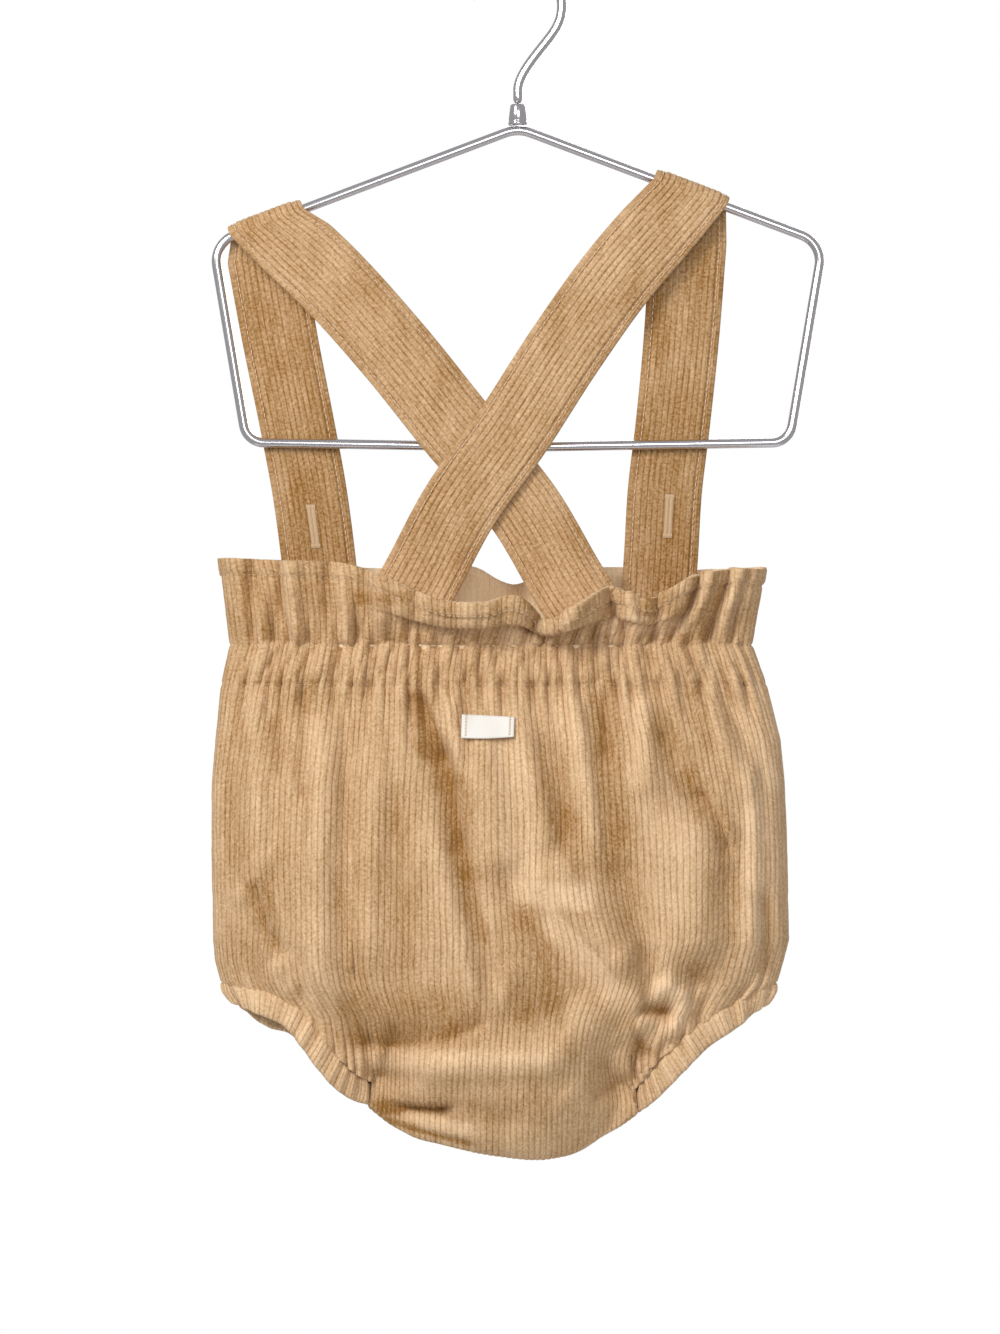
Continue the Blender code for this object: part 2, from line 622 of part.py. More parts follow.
def make_hanger():
    """One bent wire for the frame, with a collar on its top that holds the hook."""
    tip_height = APEX_HEIGHT - SHOULDER_REACH * math.tan(SHOULDER_SLOPE)
    corners = [
        (0, APEX_HEIGHT), (SHOULDER_REACH, tip_height), (BAR_REACH, BAR_HEIGHT + 2), (0, BAR_HEIGHT),
        (-BAR_REACH, BAR_HEIGHT + 2), (-SHOULDER_REACH, tip_height),
    ]
    apex_radius = 16
    wire("hanger_frame", rounded(corners, (apex_radius, 12, 9, 900, 9, 12)), CHROME, closed=True)

    apex_top = APEX_HEIGHT - apex_radius * (1 / math.cos(SHOULDER_SLOPE) - 1) + WIRE / 2
    collar_length = 9
    made = bmesh.new()
    bmesh.ops.create_cone(
        made, cap_ends=True, segments=20, radius1=4.2 * MM, radius2=3.2 * MM, depth=collar_length * MM
    )
    mesh = bpy.data.meshes.new("hook_collar")
    made.to_mesh(mesh)
    made.free()
    collar = new_object("hook_collar", mesh, CHROME, smooth_angle=40)
    collar.location = (0, 0, (apex_top + SEAM + collar_length / 2) * MM)

    # The neck bends over to one side, and the hook closes back over it
    ring = HOOK_BORE / 2 + WIRE / 2
    centre = -HOOK_BORE / 2
    turns = np.radians(np.linspace(58, 262, 18))
    arc = np.stack([ring * np.sin(turns), centre - ring * np.cos(turns)], axis=1)
    foot = np.array([0, apex_top + SEAM + collar_length + SEAM])
    neck = foot + (0, 6)
    pull = 24.0
    s = np.linspace(0, 1, 8)[:-1, None]
    swerve = (
        neck * (1 + 2 * s) * (1 - s) ** 2
        + arc[0] * s**2 * (3 - 2 * s)
        + pull * s * (1 - s) ** 2 * np.array([0, 1])
        - pull * s**2 * (1 - s) * np.array([math.cos(turns[0]), math.sin(turns[0])])
    )
    wire("hanger_hook", [foot, *swerve, *arc], CHROME)


for old in list(bpy.data.objects):
    bpy.data.objects.remove(old, do_unlink=True)
PARTS = bpy.data.collections.new("corduroy_romper")
bpy.context.scene.collection.children.link(PARTS)
CORDUROY = new_material("corduroy", (0.56, 0.36, 0.19), 0.9)
LABEL_TAPE = new_material("label_tape", (0.82, 0.79, 0.74), 0.85)
HORN = new_material("button_horn", (0.42, 0.30, 0.20), 0.45)
CHROME = new_material("chrome_wire", (0.78, 0.77, 0.78), 0.15, metallic=1.0)

make_panels()
make_leg_bands()
make_straps()
make_buttons()
make_label()
make_hanger()
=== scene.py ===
"""The look of a baby's corduroy romper on a wire hanger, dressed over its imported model.

The origin is the inside top of the hanger's hook, +Z is up, and the back of the romper faces -Y. Sizes are
in millimetres, and become metres where a mesh is made.
"""

import math

import bpy
import numpy as np
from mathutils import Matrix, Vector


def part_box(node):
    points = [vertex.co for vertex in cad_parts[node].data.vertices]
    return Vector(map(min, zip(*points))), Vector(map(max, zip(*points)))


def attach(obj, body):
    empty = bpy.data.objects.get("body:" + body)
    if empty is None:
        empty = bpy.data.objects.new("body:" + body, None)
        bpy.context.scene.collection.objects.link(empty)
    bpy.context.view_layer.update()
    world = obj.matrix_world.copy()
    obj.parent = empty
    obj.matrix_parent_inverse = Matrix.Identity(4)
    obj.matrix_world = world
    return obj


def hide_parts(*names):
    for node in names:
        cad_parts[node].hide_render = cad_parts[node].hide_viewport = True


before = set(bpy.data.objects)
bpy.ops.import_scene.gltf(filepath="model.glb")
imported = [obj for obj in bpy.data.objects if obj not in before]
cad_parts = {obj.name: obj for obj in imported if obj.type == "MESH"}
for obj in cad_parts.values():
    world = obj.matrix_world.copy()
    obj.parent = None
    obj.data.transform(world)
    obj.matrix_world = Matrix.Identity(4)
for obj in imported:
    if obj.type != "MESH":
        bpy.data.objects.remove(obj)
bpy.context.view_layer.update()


# The back and front of the bloomers. Each is one piece of camel wide-wale corduroy from the frill down to
# the crotch, gathered on elastic in a casing at the waist. They are sewn together at the sides and the crotch.
MM = 0.001
CLOTH = 1.5
SEAM = 0.3
BODY_CENTRE = -9.0
WAIST_HEIGHT = -294.8
CASING = 17.0
HEADING_DEPTH = 36.0
HEM = 7.0
BAND = 11.0
BAND_TUCK = 1.4  # how far the panels lie over the leg bands at their seam
BAND_END = 0.9
LEG_DEPTH = 15.0
WAIST_GATHERS = 28
LEG_GATHERS = 22
WALE = 2.75  # width of one cord of the pile
WALE_HEIGHT = 0.3
PANEL_WALES = 104
CUTS = 5  # columns of the mesh to a wale
FRILL_ROWS = 28
CASING_ROWS = 14
BODY_ROWS = 100
SOFTENED = slice(-40, -4)  # the rows near the lower edge whose depth is smoothed along them
THREAD = 0.5


def table(columns, *rows):
    """A short table as named columns. What a row leaves off at its end is 0."""
    names = columns.split()
    return dict(zip(names, np.array([(*row, *[0] * (len(names) - len(row))) for row in rows], float).T))


def walked(line):
    """How far along a line each of its points lies."""
    return np.concatenate([[0], np.cumsum(np.linalg.norm(np.diff(line, axis=0), axis=1))])


def read_at(at, run, line):
    """Points of a line at distances `at` along it, `run` being how far along its own points lie."""
    return np.stack([np.interp(at, run, column) for column in line.T], axis=1)


SECTIONS = table(
    "below left right back front round",
    (-36, 119.7, 115.5, 17, 16, 3.4), (0, 115.3, 109.9, 13, 13, 3.6), (17, 119.0, 116.0, 16, 15, 3.4),
    (41, 121.4, 122.0, 23, 20, 3.0), (60, 123.0, 123.8, 27, 23, 2.8), (93, 123.0, 125.1, 30, 25, 2.7),
    (128, 122.8, 126.0, 30, 26, 2.7), (137, 122.0, 123.8, 29, 26, 2.7), (145.7, 119.7, 121.3, 28, 25, 2.7),
    (160, 109.5, 111.0, 27, 24, 2.7), (223, 106.0, 107.0, 24, 22, 2.7),
)
LEGS = {
    "left": table(
        "x below sag",
        (-112.7, 155.2), (-107.5, 158.1, 4), (-99.7, 160.9, 6.5), (-91.4, 164.9, 5), (-85.8, 171.7, 3),
        (-77.1, 183.4), (-70.6, 191.0), (-64, 196.1), (-56.2, 199.6),
    ),
    "right": table(
        "x below sag",
        (115.1, 156.1), (105, 164.3), (91.2, 173.5), (79.4, 185.2), (66.4, 198.7), (61.2, 203),
    ),
}
CROTCH = table(
    "x below",
    (-55.4, 200.9), (-44.5, 209.5), (-38, 213), (-24.9, 216.5), (1.2, 221.7), (20.7, 223), (33.8, 220.4),
    (46.8, 213), (55.5, 207.4), (60.2, 203.8),
)
BAND_TURN = {"left": (126, 52, 92), "right": (61, 131, 88)}
FRILL = {
    "back": table(
        "x height flop",
        (-119.7, 37.8), (-92, 36.5, 1), (-64, 34.8, 4), (-48.8, 29.6, 7), (-35.8, 23.9, 12), (-25, 19.6, 15),
        (-5.3, 18.3, 16), (9.9, 20.5, 15), (20, 11, 15), (33.8, 17, 14), (48, 25, 8), (64.2, 19.8, 10),
        (84, 29.6, 5), (102, 33, 3), (115.5, 33),
    ),
    "front": table(
        "x height flop",
        (-119.7, 36), (-70, 34, 6), (-56, 34, 5), (-24, 33, 5), (-12, 35, 5), (6, 27, 11), (22, 31, 8),
        (40, 34, 5), (75, 33, 6), (115.5, 34),
    ),
}
# Folds as soft ridges from their top to their low end, or as troughs where the height is negative
FOLDS = {
    "back": table(
        "x_top top x_low low width height steep",
        (-113.6, 23.9, -117.1, 110.9, 5, -2), (-102.3, 19.6, -102.3, 93.5, 4, 1.8),
        (-94, 19.6, -92.3, 58.7, 3, -2), (-83.2, 15.2, -81.9, 67.4, 4, -3.5),
        (-72.7, 41.3, -76.2, 154.3, 6, 3.5), (-78, 13, -74.9, 32.6, 3, -2),
        (-66.2, 19.6, -64, 67.4, 4, -2.5), (-64, 67.4, -64, 154.3, 5, -2.5),
        (-58.4, 19.6, -59.7, 50, 3, -2.5), (-51.9, 58.7, -54.5, 137, 4, 2),
        (-42.3, 58.7, -40.1, 154.3, 6, -2), (-33.5, 19.6, -24, 50, 7, -6, 1),
        (-24, 45.7, -13.5, 89.1, 9, -5.5, 1), (-13.5, 84.8, -2.3, 145.7, 9, -3.2, 1),
        (-22.7, 23.9, -19.7, 50, 3, 3), (-27.1, 80.4, -11.9, 154.3, 5, 3.5), (-15.3, 23.9, -11.9, 37, 3, -2),
        (-8.4, 39.1, 1.2, 93.5, 7, 3.5), (10.7, 32.6, 18.6, 89.1, 6, 4.5), (21, 41.3, 28, 89.1, 6.5, -2),
        (33.8, 23.9, 41.2, 89.1, 4, 3.5), (44.7, 19.6, 47.3, 50, 5, -3.5), (18.6, 93.5, 49, 137, 10, 5.5),
        (44.7, 132.6, 66.4, 167.4, 6, 4.5), (3.3, 97.8, 40.3, 154.3, 8, -4), (3.3, 137, 5.5, 158.7, 5, 2),
        (51.2, 93.5, 62, 137, 7, -3), (62, 23.9, 64.2, 63, 6, 4), (70.7, 37, 83.8, 67.4, 6, -3.2),
        (86, 63, 97.7, 89.1, 6, -4.2, 1), (97.7, 84.8, 98.6, 137, 7, -2.6),
        (83.8, 76.1, 83.8, 132.6, 13, 4.5), (88.1, 23.9, 106.4, 63, 4, 3), (96.8, 19.6, 109.9, 50, 4, -2.5),
        (107.7, 45.7, 109.9, 132.6, 4, 3), (114.2, 106.5, 117.7, 150, 4, -4.5),
        (121.2, 50, 122.9, 110.9, 5, 2), (-104.9, 102.2, -100.6, 123.9, 4, -2.6, 1),
        (-100.6, 123.9, -89.3, 133.5, 3.5, -2.4), (-113.6, 110.9, -96.7, 89.1, 4, 2),
        (-96.2, 137, -85.8, 147.8, 6, 2.5), (-102.3, 154.3, -85.8, 150, 4, 2),
        (-61.9, 150, -63.2, 174.3, 5, -1.6), (-60, 171.7, -24.9, 172.6, 11, -4, -1),
        (-24.9, 171.7, -7.5, 163, 6, -3.5, -1), (1.2, 154.3, 27.3, 163, 9, -3),
        (-64, 181.3, -33.6, 181.3, 5, 3.5), (-33.6, 180.4, 27.3, 177, 7, 6),
        (27.3, 154.3, 53.3, 171.7, 8, 2.5), (-54, 200, -20, 199.2, 5, -9, 1),
        (-24.9, 199.1, 9.9, 204.3, 7, -3), (-46, 207.5, -7.5, 215.2, 2.5, -5, 1),
        (58.6, 156.1, 75.1, 157.8, 4, -7), (66.4, 147.8, 77.7, 145.7, 4, 4),
        (79.4, 147.8, 81.2, 158.7, 4, 5), (81.2, 158.7, 72.5, 168.3, 4, 4), (62, 166.5, 66.4, 179.6, 4, -4),
        (88.1, 139.1, 90.7, 147.8, 5, -3.2), (40.3, 196.1, 62, 188.3, 3.5, -3),
        (68.6, 171.7, 83.8, 167.4, 4, 2.5), (27.3, 193.5, 44.7, 206.5, 7, 2),
    ),
    "front": table(
        "x_top top x_low low width height steep",
        (-108, 24, -112, 100, 5, -2.5), (-96, 28, -104, 120, 8, 3.5), (-84, 20, -88, 70, 4, -3),
        (-74, 24, -78, 140, 8, -4.5), (-62, 20, -58, 60, 4, 2.5), (-52, 30, -46, 110, 9, 4),
        (-40, 20, -42, 64, 4, -3), (-30, 22, -36, 150, 8, -5), (-16, 20, -12, 80, 5, 3),
        (-4, 30, 4, 130, 10, 4), (9, 20, 8, 60, 4, -3), (20, 24, 24, 110, 7, -4.5), (34, 20, 30, 66, 5, 3),
        (46, 28, 40, 140, 9, 4), (58, 20, 60, 60, 4, -2.5), (66, 22, 76, 120, 7, -4.5),
        (80, 20, 84, 56, 4, 2.5), (92, 28, 100, 130, 8, 3.5), (106, 24, 112, 110, 4, -3),
        (-44, 172, 40, 178, 8, 4.5), (-50, 160, 44, 163, 5, -3.5), (-60, 146, -38, 160, 7, -3),
        (66, 146, 42, 160, 7, -3), (-40, 196, 30, 202, 5, -3),
    ),
}
# Where the cloth is lighter, or darker where the amount is negative, as soft strokes like the folds. They are
# placed one by one, and the narrow dark ones at the crotch and beside the leg stand for the shade in creases
# Many of the strokes are painted shade and light along with the pile's own tone: most dark ones lie in the
# troughs of the folds and most light ones on their crests, and those on the frill lighten its shaded underside
# and darken the corners of its folds
NAP_AND_SHADE_GAIN = 0.68
NAP_AND_SHADE_STROKES = {
    "back": table(
        "x_top top x_low low width amount steep",
        (-34, 20, -28, 50, 5.5, -0.34), (-29, 40, -21, 62, 8, -0.36), (-20, 56, -12, 100, 8, -0.36),
        (-13, 95, -8, 128, 6, -0.24), (23, 38, 27, 78, 7, -0.12), (27, 70, 38, 98, 7, -0.26),
        (46, 22, 50, 100, 7, -0.3), (50, 95, 58, 138, 7, -0.12), (70, 28, 80, 60, 7, -0.2),
        (80, 56, 98, 82, 7, -0.24), (98, 78, 103, 130, 6, -0.16), (83, 18, 93, 46, 4, -0.3),
        (-79, 12, -82, 30, 3.5, -0.35), (-82, 60, -81, 80, 3, -0.2), (-58, 60, -52, 150, 6, -0.15),
        (-42, 60, -40, 152, 7, -0.12), (-67, 163, -8, 160, 14, -0.34), (5, 116, 20, 160, 13, -0.36),
        (-104, 102, -95, 132, 5, -0.24), (80, 140, 92, 140, 6, -0.18), (-62, 187, -46, 191, 5, 0.2),
        (-45, -9, 18, -7, 4, 0.2), (2, -3, 17, -2, 4, 0.3), (46, -9, 84, -9, 4, 0.3),
        (-62, -20, -38, -20, 3, -0.3), (11, -26, 14, -16, 3, -0.4), (56, -20, 92, -14, 6, -0.2),
        (-52, 200, 30, 200, 6, -0.22), (-54, 200.5, -22, 200, 3, -0.55), (-48, 206.5, -12, 215, 1.6, -0.7),
        (60, 156, 76, 158, 2.6, -0.4), (56, 161, 68, 180, 2.5, -0.35), (-40, 203.5, -10, 209, 2.5, 0.3),
        (115, 108, 116, 142, 4, -0.25), (4, 42, 12, 102, 8, 0.28), (6, 105, 42, 109, 5.5, 0.44),
        (22, 113, 57, 152, 9, 0.46, 1), (112, 40, 114, 150, 10, 0.12), (-103, 30, -106, 140, 14, -0.08),
        (66, 60, 76, 90, 10, 0.16), (76, 85, 80, 120, 11, 0.14), (-74, 45, -71, 150, 4, 0.08),
        (-64, 179, 26, 179, 4.5, 0.24), (-12, 60, 0, 150, 3, 0.12), (63, 149, 76, 146, 4, 0.35),
        (78, 148, 78, 166, 4, 0.35), (104, 28, 119, 62, 4, 0.2), (110, 62, 112, 130, 4, 0.2),
        (30, 22, 36, 60, 4, 0.15), (62, 22, 62, 48, 3, 0.2), (-100, 60, -99, 96, 7, 0.12),
    ),
    "front": table(
        "x_top top x_low low width amount steep",
        (-70, 50, -60, 120, 9, 0.25), (-34, 30, -36, 120, 8, -0.3), (0, 60, 8, 130, 12, 0.3),
        (24, 24, 28, 100, 7, -0.3), (60, 30, 72, 100, 8, -0.3), (88, 60, 96, 130, 9, 0.25),
        (-46, 166, 40, 170, 7, -0.35), (-40, 182, 36, 186, 5, 0.3), (-100, 40, -104, 110, 5, -0.2),
    ),
}
# Where the cords are drawn sideways: the middle of each pull, its two half sizes and how far it draws them
SWAY = {
    "back": table(
        "x below half_x half_below shift",
        (40, 140, 24, 26, 7.5), (-10, 150, 26, 30, 2.5), (-22, 45, 14, 26, 3), (20, 70, 16, 24, 2.5),
        (92, 75, 18, 26, 3.5), (-100, 118, 12, 18, 3), (60, 178, 16, 14, -5), (-58, 180, 16, 20, 3),
        (84, 140, 14, 14, -3.5), (-72, 96, 14, 50, -2),
    ),
    "front": table(
        "x below half_x half_below shift",
        (-44, 140, 24, 26, -6), (10, 90, 20, 30, 3), (60, 60, 18, 26, -3), (-20, 50, 14, 24, 3),
    ),
}
# Creases down through the frill: the height at which each starts, its lean, its half width and its height
FRILL_FOLDS = {
    "back": table(
        "x start lean width height",
        (-106, 0.1, 0.0, 3, -1.5), (-95, 0.0, 0.05, 3, -3), (-86, 0.1, -0.1, 3, 2), (-76, 0.1, 0.1, 3, -2.2),
        (-60, 0.0, 0.1, 4, -3), (-50, 0.2, 0.0, 4, 2.5), (-38, 0.1, 0.1, 3, -3), (-20, 0.2, 0.1, 4, -2.5),
        (-6, 0.2, 0.1, 4, 2), (14.5, 0.25, 0.12, 3.5, -8), (27, 0.1, 0.2, 4, 3), (40, 0.0, 0.3, 2.6, -3),
        (48, 0.3, 0.3, 2.2, -3), (56, 0.1, -0.3, 2.8, -4), (62, 0.2, -0.2, 2.2, 2.5),
        (67, 0.0, 0.05, 2.6, -4), (76, 0.1, 0.35, 2.8, -5), (84, 0.25, 0.3, 2.2, 2.5),
        (90, 0.0, 0.3, 2.6, -3), (96, 0.1, 0.25, 2.4, 2.5), (102, 0.1, 0.2, 2.2, -3),
    ),
    "front": table(
        "x start lean width height",
        (-100, 0, 0.1, 3, -3), (-84, 0, -0.1, 4, 3), (-66, 0, 0.1, 3, -4), (-44, 0, 0.1, 4, 3),
        (-24, 0, -0.1, 3, -4), (-6, 0, 0.1, 5, 3), (14, 0, 0.1, 3, -4), (34, 0, -0.1, 4, 3),
        (54, 0, 0.1, 3, -4), (74, 0, 0.1, 4, 3), (94, 0, -0.1, 3, -4),
    ),
}


def ease(s):
    """Rises smoothly from 0 to 1 as s does: 3s² - 2s³."""
    s = np.clip(s, 0, 1)
    return s * s * (3 - 2 * s)


def bell(s):
    """Falls smoothly from 1 at 0 to nothing on both sides: exp(-s²)."""
    return np.exp(-(s**2))


def curve_through(at, x, y):
    """A smooth curve through the points (x, y), read at the places `at`: a cubic with averaged slopes."""
    slope = np.gradient(y, x)
    i = np.clip(np.searchsorted(x, at) - 1, 0, len(x) - 2)
    wide = x[i + 1] - x[i]
    s = np.clip((at - x[i]) / wide, 0, 1)
    return (
        y[i] * (1 + 2 * s) * (1 - s) ** 2
        + y[i + 1] * s * s * (3 - 2 * s)
        + wide * s * (1 - s) * (slope[i] * (1 - s) - slope[i + 1] * s)
    )


def along(line, count):
    """Points evenly spaced along the smooth line through a table's columns."""
    points = np.stack(list(line.values()), axis=1)
    run = walked(points)
    at = np.linspace(0, run[-1], count)
    return np.stack([curve_through(at, run, points[:, k]) for k in range(points.shape[1])], axis=1)


def uneven(shape, cell, seed):
    """A smooth random field from -1 to 1: random numbers on a coarse grid, eased from one to the next."""
    coarse = np.random.default_rng(seed).uniform(-1, 1, [int(n / c) + 2 for n, c in zip(shape, cell)])
    spots = [np.linspace(0, n / c, n, endpoint=False) for n, c in zip(shape, cell)]
    (i, s), (j, t) = [(spot.astype(int), ease(spot - spot.astype(int))) for spot in spots]
    s, t = s[:, None], t[None]
    i, j = i[:, None], j[None]
    upper = coarse[i, j] * (1 - t) + coarse[i, j + 1] * t
    lower = coarse[i + 1, j] * (1 - t) + coarse[i + 1, j + 1] * t
    return upper * (1 - s) + lower * s


def gather_wave(place, count):
    """A cosine with `count` crests for place 0 to 1, whose phase wanders so that they are unevenly spaced."""
    phase = count * place + 0.32 * np.sin(2 * np.pi * 3 * place) + 0.18 * np.sin(2 * np.pi * 8 * place + 1)
    return np.cos(2 * np.pi * phase)


def strokes(lines, x, below, power=2):
    """Sum of a table's lines: each is a bell across it, exp(-|off/width|^power), eased out at both ends.

    On the side that `steep` names, the bell is only a quarter as wide.
    """
    total = np.zeros_like(x)
    for x_top, top, x_low, low, width, height, steep in zip(*lines.values()):
        dx, drop = x_low - x_top, low - top
        length = math.hypot(dx, drop)
        share = ((x - x_top) * dx + (below - top) * drop) / length**2
        off = ((x - x_top) * drop - (below - top) * dx) / length
        off = off * np.where(off * steep > 0, 4, 1)
        fade = max(0.25, 6 / length)
        ends = ease((share + fade / 2) / fade) * ease((1 + fade / 2 - share) / fade)
        total += height * np.exp(-(np.abs(off / width) ** power)) * ends
    return total


def band_way(side, q):
    """Unit vectors (x, z) across a leg band, from its open edge to the body, at shares q of its length."""
    at_side, middle, at_crotch = BAND_TURN[side]
    turn = np.radians(middle + (at_side - middle) * (1 - q) ** 4 + (at_crotch - middle) * q**4)
    return np.stack([np.cos(turn), np.sin(turn)], axis=-1)


def leg_curve(side, q, shift, is_front):
    """Points (x, below) along a leg at shares q, `shift` above the open edge; the front sags lower."""
    line = along(LEGS[side], 41)
    share = np.linspace(0, 1, len(line))
    x, below, sag = (np.interp(q, share, column) for column in line.T)
    edge = np.stack([x, below + sag * is_front], axis=-1)
    return edge + np.asarray(shift)[..., None] * band_way(side, q) * (1, -1)


def lower_edge(is_front):
    """A panel's lower edge as columns x, below, how far it stands out, and the turn round the leg there."""
    q = np.linspace(0, 1, 121)
    parts = []
    for side, inward in (("left", 1), ("right", -1)):
        x, below = leg_curve(side, q, 0 * q + BAND - BAND_TUCK, is_front).T
        leg = np.stack([x, below, 2 * LEG_DEPTH * np.sqrt(q * (1 - q)), np.arccos(1 - 2 * q)], axis=1)
        corner = leg[-1] + (inward * BAND_END, 0, 0, 0)
        parts.append(np.concatenate([leg, [corner]])[::inward])
    crotch_x = np.linspace(CROTCH["x"][0], CROTCH["x"][-1], 241)
    below = curve_through(crotch_x, CROTCH["x"], CROTCH["below"])
    parts.insert(1, np.stack([crotch_x, below, 0 * crotch_x, 0 * crotch_x], axis=1))
    return table("x below stands turn", *np.concatenate(parts))


def section(below, place, name):
    """Where a place across the body lies: x, and depth (1 - |place|^n)^(1/n), n being how square it is."""
    columns = ("left", "right", name, "round")
    left, right, half, power = (np.interp(below, SECTIONS["below"], SECTIONS[k]) for k in columns)
    return (right - left) / 2 + place * (right + left) / 2, half * (1 - np.abs(place) ** power) ** (1 / power)


def clear_of_seams(place):
    """0 at a panel's two side seams, where the cloth lies still, and 1 a little way in."""
    return ease(1.15 * (1 - np.abs(place)) / 0.1)


def panel_middle(name, place):
    """The middle surface of a panel for places across it: rows from the frill's edge to the lower edge.

    The depth is the body's oval section, eased in to the leg bands and rounded under to the crotch seam. On
    it lie gathers that fade from the casing and the bands, and the folds. The frill leans out by its own table.
    """
    is_front = name == "front"
    low_edge = lower_edge(is_front)
    bottom = np.full_like(place[-1], 160.0)
    for _ in range(40):
        bottom_x = section(bottom, place[-1], name)[0]
        bottom = np.interp(bottom_x, low_edge["x"], low_edge["below"])
    on_seam = (bottom_x > CROTCH["x"][0]) & (bottom_x < CROTCH["x"][-1])

    casing = np.linspace(0, 1, CASING_ROWS)[:, None] * CASING * np.ones_like(bottom)
    smooth = np.convolve(np.pad(bottom, 36, mode="edge"), np.ones(73) / 73, mode="valid")
    down = 1 - (1 - np.linspace(0, 1, BODY_ROWS + 1)[1:, None]) ** 1.25
    body = CASING + down * (smooth + (bottom - smooth) * down**10 - CASING)
    below = np.concatenate([casing, body])
    place_here = place[FRILL_ROWS:]
    x, full = section(below, place_here, name)
    left_over = bottom - below
    stands = np.interp(bottom_x, low_edge["x"], low_edge["stands"]) * np.ones_like(x)
    for row in np.flatnonzero((left_over < 60).any(axis=1)):
        away = np.hypot(x[row][:, None] - low_edge["x"], below[row][:, None] - low_edge["below"])
        nearest = away.argmin(axis=1)
        left_over[row] = np.where(on_seam, np.minimum(away.min(axis=1), left_over[row]), left_over[row])
        stands[row] = np.where(on_seam, low_edge["stands"][nearest], stands[row])
    from_leg = np.minimum(x - CROTCH["x"][0], CROTCH["x"][-1] - x)
    stands = np.where(on_seam, stands * (1 - ease(from_leg / 20)), stands)
    round_there = np.where(on_seam, ease(from_leg / 50), 0)
    gentle = ease(left_over / 45)
    under = np.sqrt(1 - (1 - np.clip(left_over / 26, 0, 1)) ** 2) * (0.8 + 0.2 * gentle)
    rise = gentle * (1 - round_there) + under * round_there
    depth = np.minimum(stands + (full - stands) * rise, full)
    for _ in range(60):
        low = depth[SOFTENED]
        depth[SOFTENED, 1:-1] = (low[:, :-2] + 2 * low[:, 1:-1] + low[:, 2:]) / 4

    spread = (place_here + 1) / 2
    calm = clear_of_seams(place_here)
    past_casing = np.clip(below - CASING, 0, None)
    waist = 1.5 * np.exp(-past_casing / 14) * ease(left_over / 20) * (0.5 + 0.5 * ease((below - 11) / 8))
    waist = waist * (1 + 1.1 * uneven(x.shape, (12, 15), 3))
    crimp = 1.5 * uneven(x.shape, (5, 5), 4) + 1.2 * uneven(x.shape, (11, 12), 6)
    crimp = np.exp(-past_casing / 13) * crimp
    turn = np.interp(bottom_x, low_edge["x"], low_edge["turn"]) / (2 * np.pi)
    leg = 1.3 * np.clip(stands / 4, 0, 1) * np.exp(-left_over / 13)
    crown = 0.8 * np.sin(np.pi * np.clip(below / CASING, 0, 1))
    folds = 0.85 * strokes(FOLDS[name], x, below) * ease(left_over / 12) * ease((below - CASING + 4) / 14)
    rumple = 0.5 * uneven(x.shape, (22, 30), 5) * ease(left_over / 20) + crimp
    puckers = waist * gather_wave(spread, WAIST_GATHERS) + leg * gather_wave(turn, LEG_GATHERS)
    depth = depth + calm * (puckers + crown + folds + rumple)
    # The seams' many layers make a lump at each end of the crotch
    for corner_x, corner in ((CROTCH["x"][k], CROTCH["below"][k]) for k in (0, -1)):
        lump = np.exp(-(((x - corner_x) / 9) ** 2) - ((below - corner + 4) / 10) ** 2)
        depth[:-1] = np.maximum(depth, SEAM / 2 + CLOTH / 2 + 3.2 * lump)[:-1]

    rise = np.linspace(1, 0, FRILL_ROWS, endpoint=False)[:, None] * np.ones_like(bottom)
    place_here = place[:FRILL_ROWS]
    frill_x, full = section(-HEADING_DEPTH * rise, place_here, name)
    spread = (place_here + 1) / 2
    calm = clear_of_seams(place_here)
    top, flop = (curve_through(frill_x, FRILL[name]["x"], FRILL[name][k]) for k in ("height", "flop"))
    small = (1 - rise) * (1.3 * gather_wave(spread, WAIST_GATHERS) + 1.9 * uneven(rise.shape, (8, 6), 14))
    large = 2.0 * rise * np.sin(2 * np.pi * (7.5 * spread + 0.3 * np.sin(2 * np.pi * 2 * spread)))
    large = large + 1.1 * uneven(rise.shape, (10, 22), 15)
    # Where it flops it stands up a little, folds out and down, and rises again to its hem
    slack = np.clip(flop / 18, 0, 1)
    steps = np.array([0, 0.22, 0.42, 0.62, 0.8, 1.0])
    belly = curve_through(rise, steps, np.array([0, 0.06, 0.3, 0.78, 0.96, 1.0]))
    belly = belly * slack + np.sin(np.pi * rise * 0.72) * (1 - slack)
    climb = curve_through(rise, steps, np.array([0, 0.38, 0.54, 0.42, 0.66, 1.0]))
    climb = climb * slack + rise * (1 - slack)
    creases = np.zeros_like(frill_x)
    for at, start, lean, width, height in zip(*FRILL_FOLDS[name].values()):
        off = (frill_x - at - lean * HEADING_DEPTH * (rise - start)) / width
        creases += 1.1 * height * bell(off) * ease((rise - start + 0.15) / 0.3)
    frill = full + calm * (flop * belly + small + large + creases)
    frill_height = top * climb

    for at, low, half_x, half_below, shift in zip(*SWAY[name].values()):
        x = x + shift * np.exp(-(((x - at) / half_x) ** 2) - ((below - low) / half_below) ** 2)
    x = np.concatenate([frill_x, x])
    depth = np.maximum(np.concatenate([frill, depth]), SEAM / 2 + CLOTH / 2)
    depth[:, [0, -1]] = SEAM / 2 + CLOTH / 4
    height = np.concatenate([frill_height, -below])
    side = 1 if is_front else -1
    return np.stack([x + BODY_CENTRE, side * depth, WAIST_HEIGHT + height], axis=-1)


def outward(points):
    """Unit normals of a grid of points, from the cross product of its two gradients."""
    ahead = np.gradient(points, axis=0)
    across = np.gradient(points, axis=1)
    normal = np.cross(ahead, across)
    return normal / np.linalg.norm(normal, axis=2, keepdims=True)


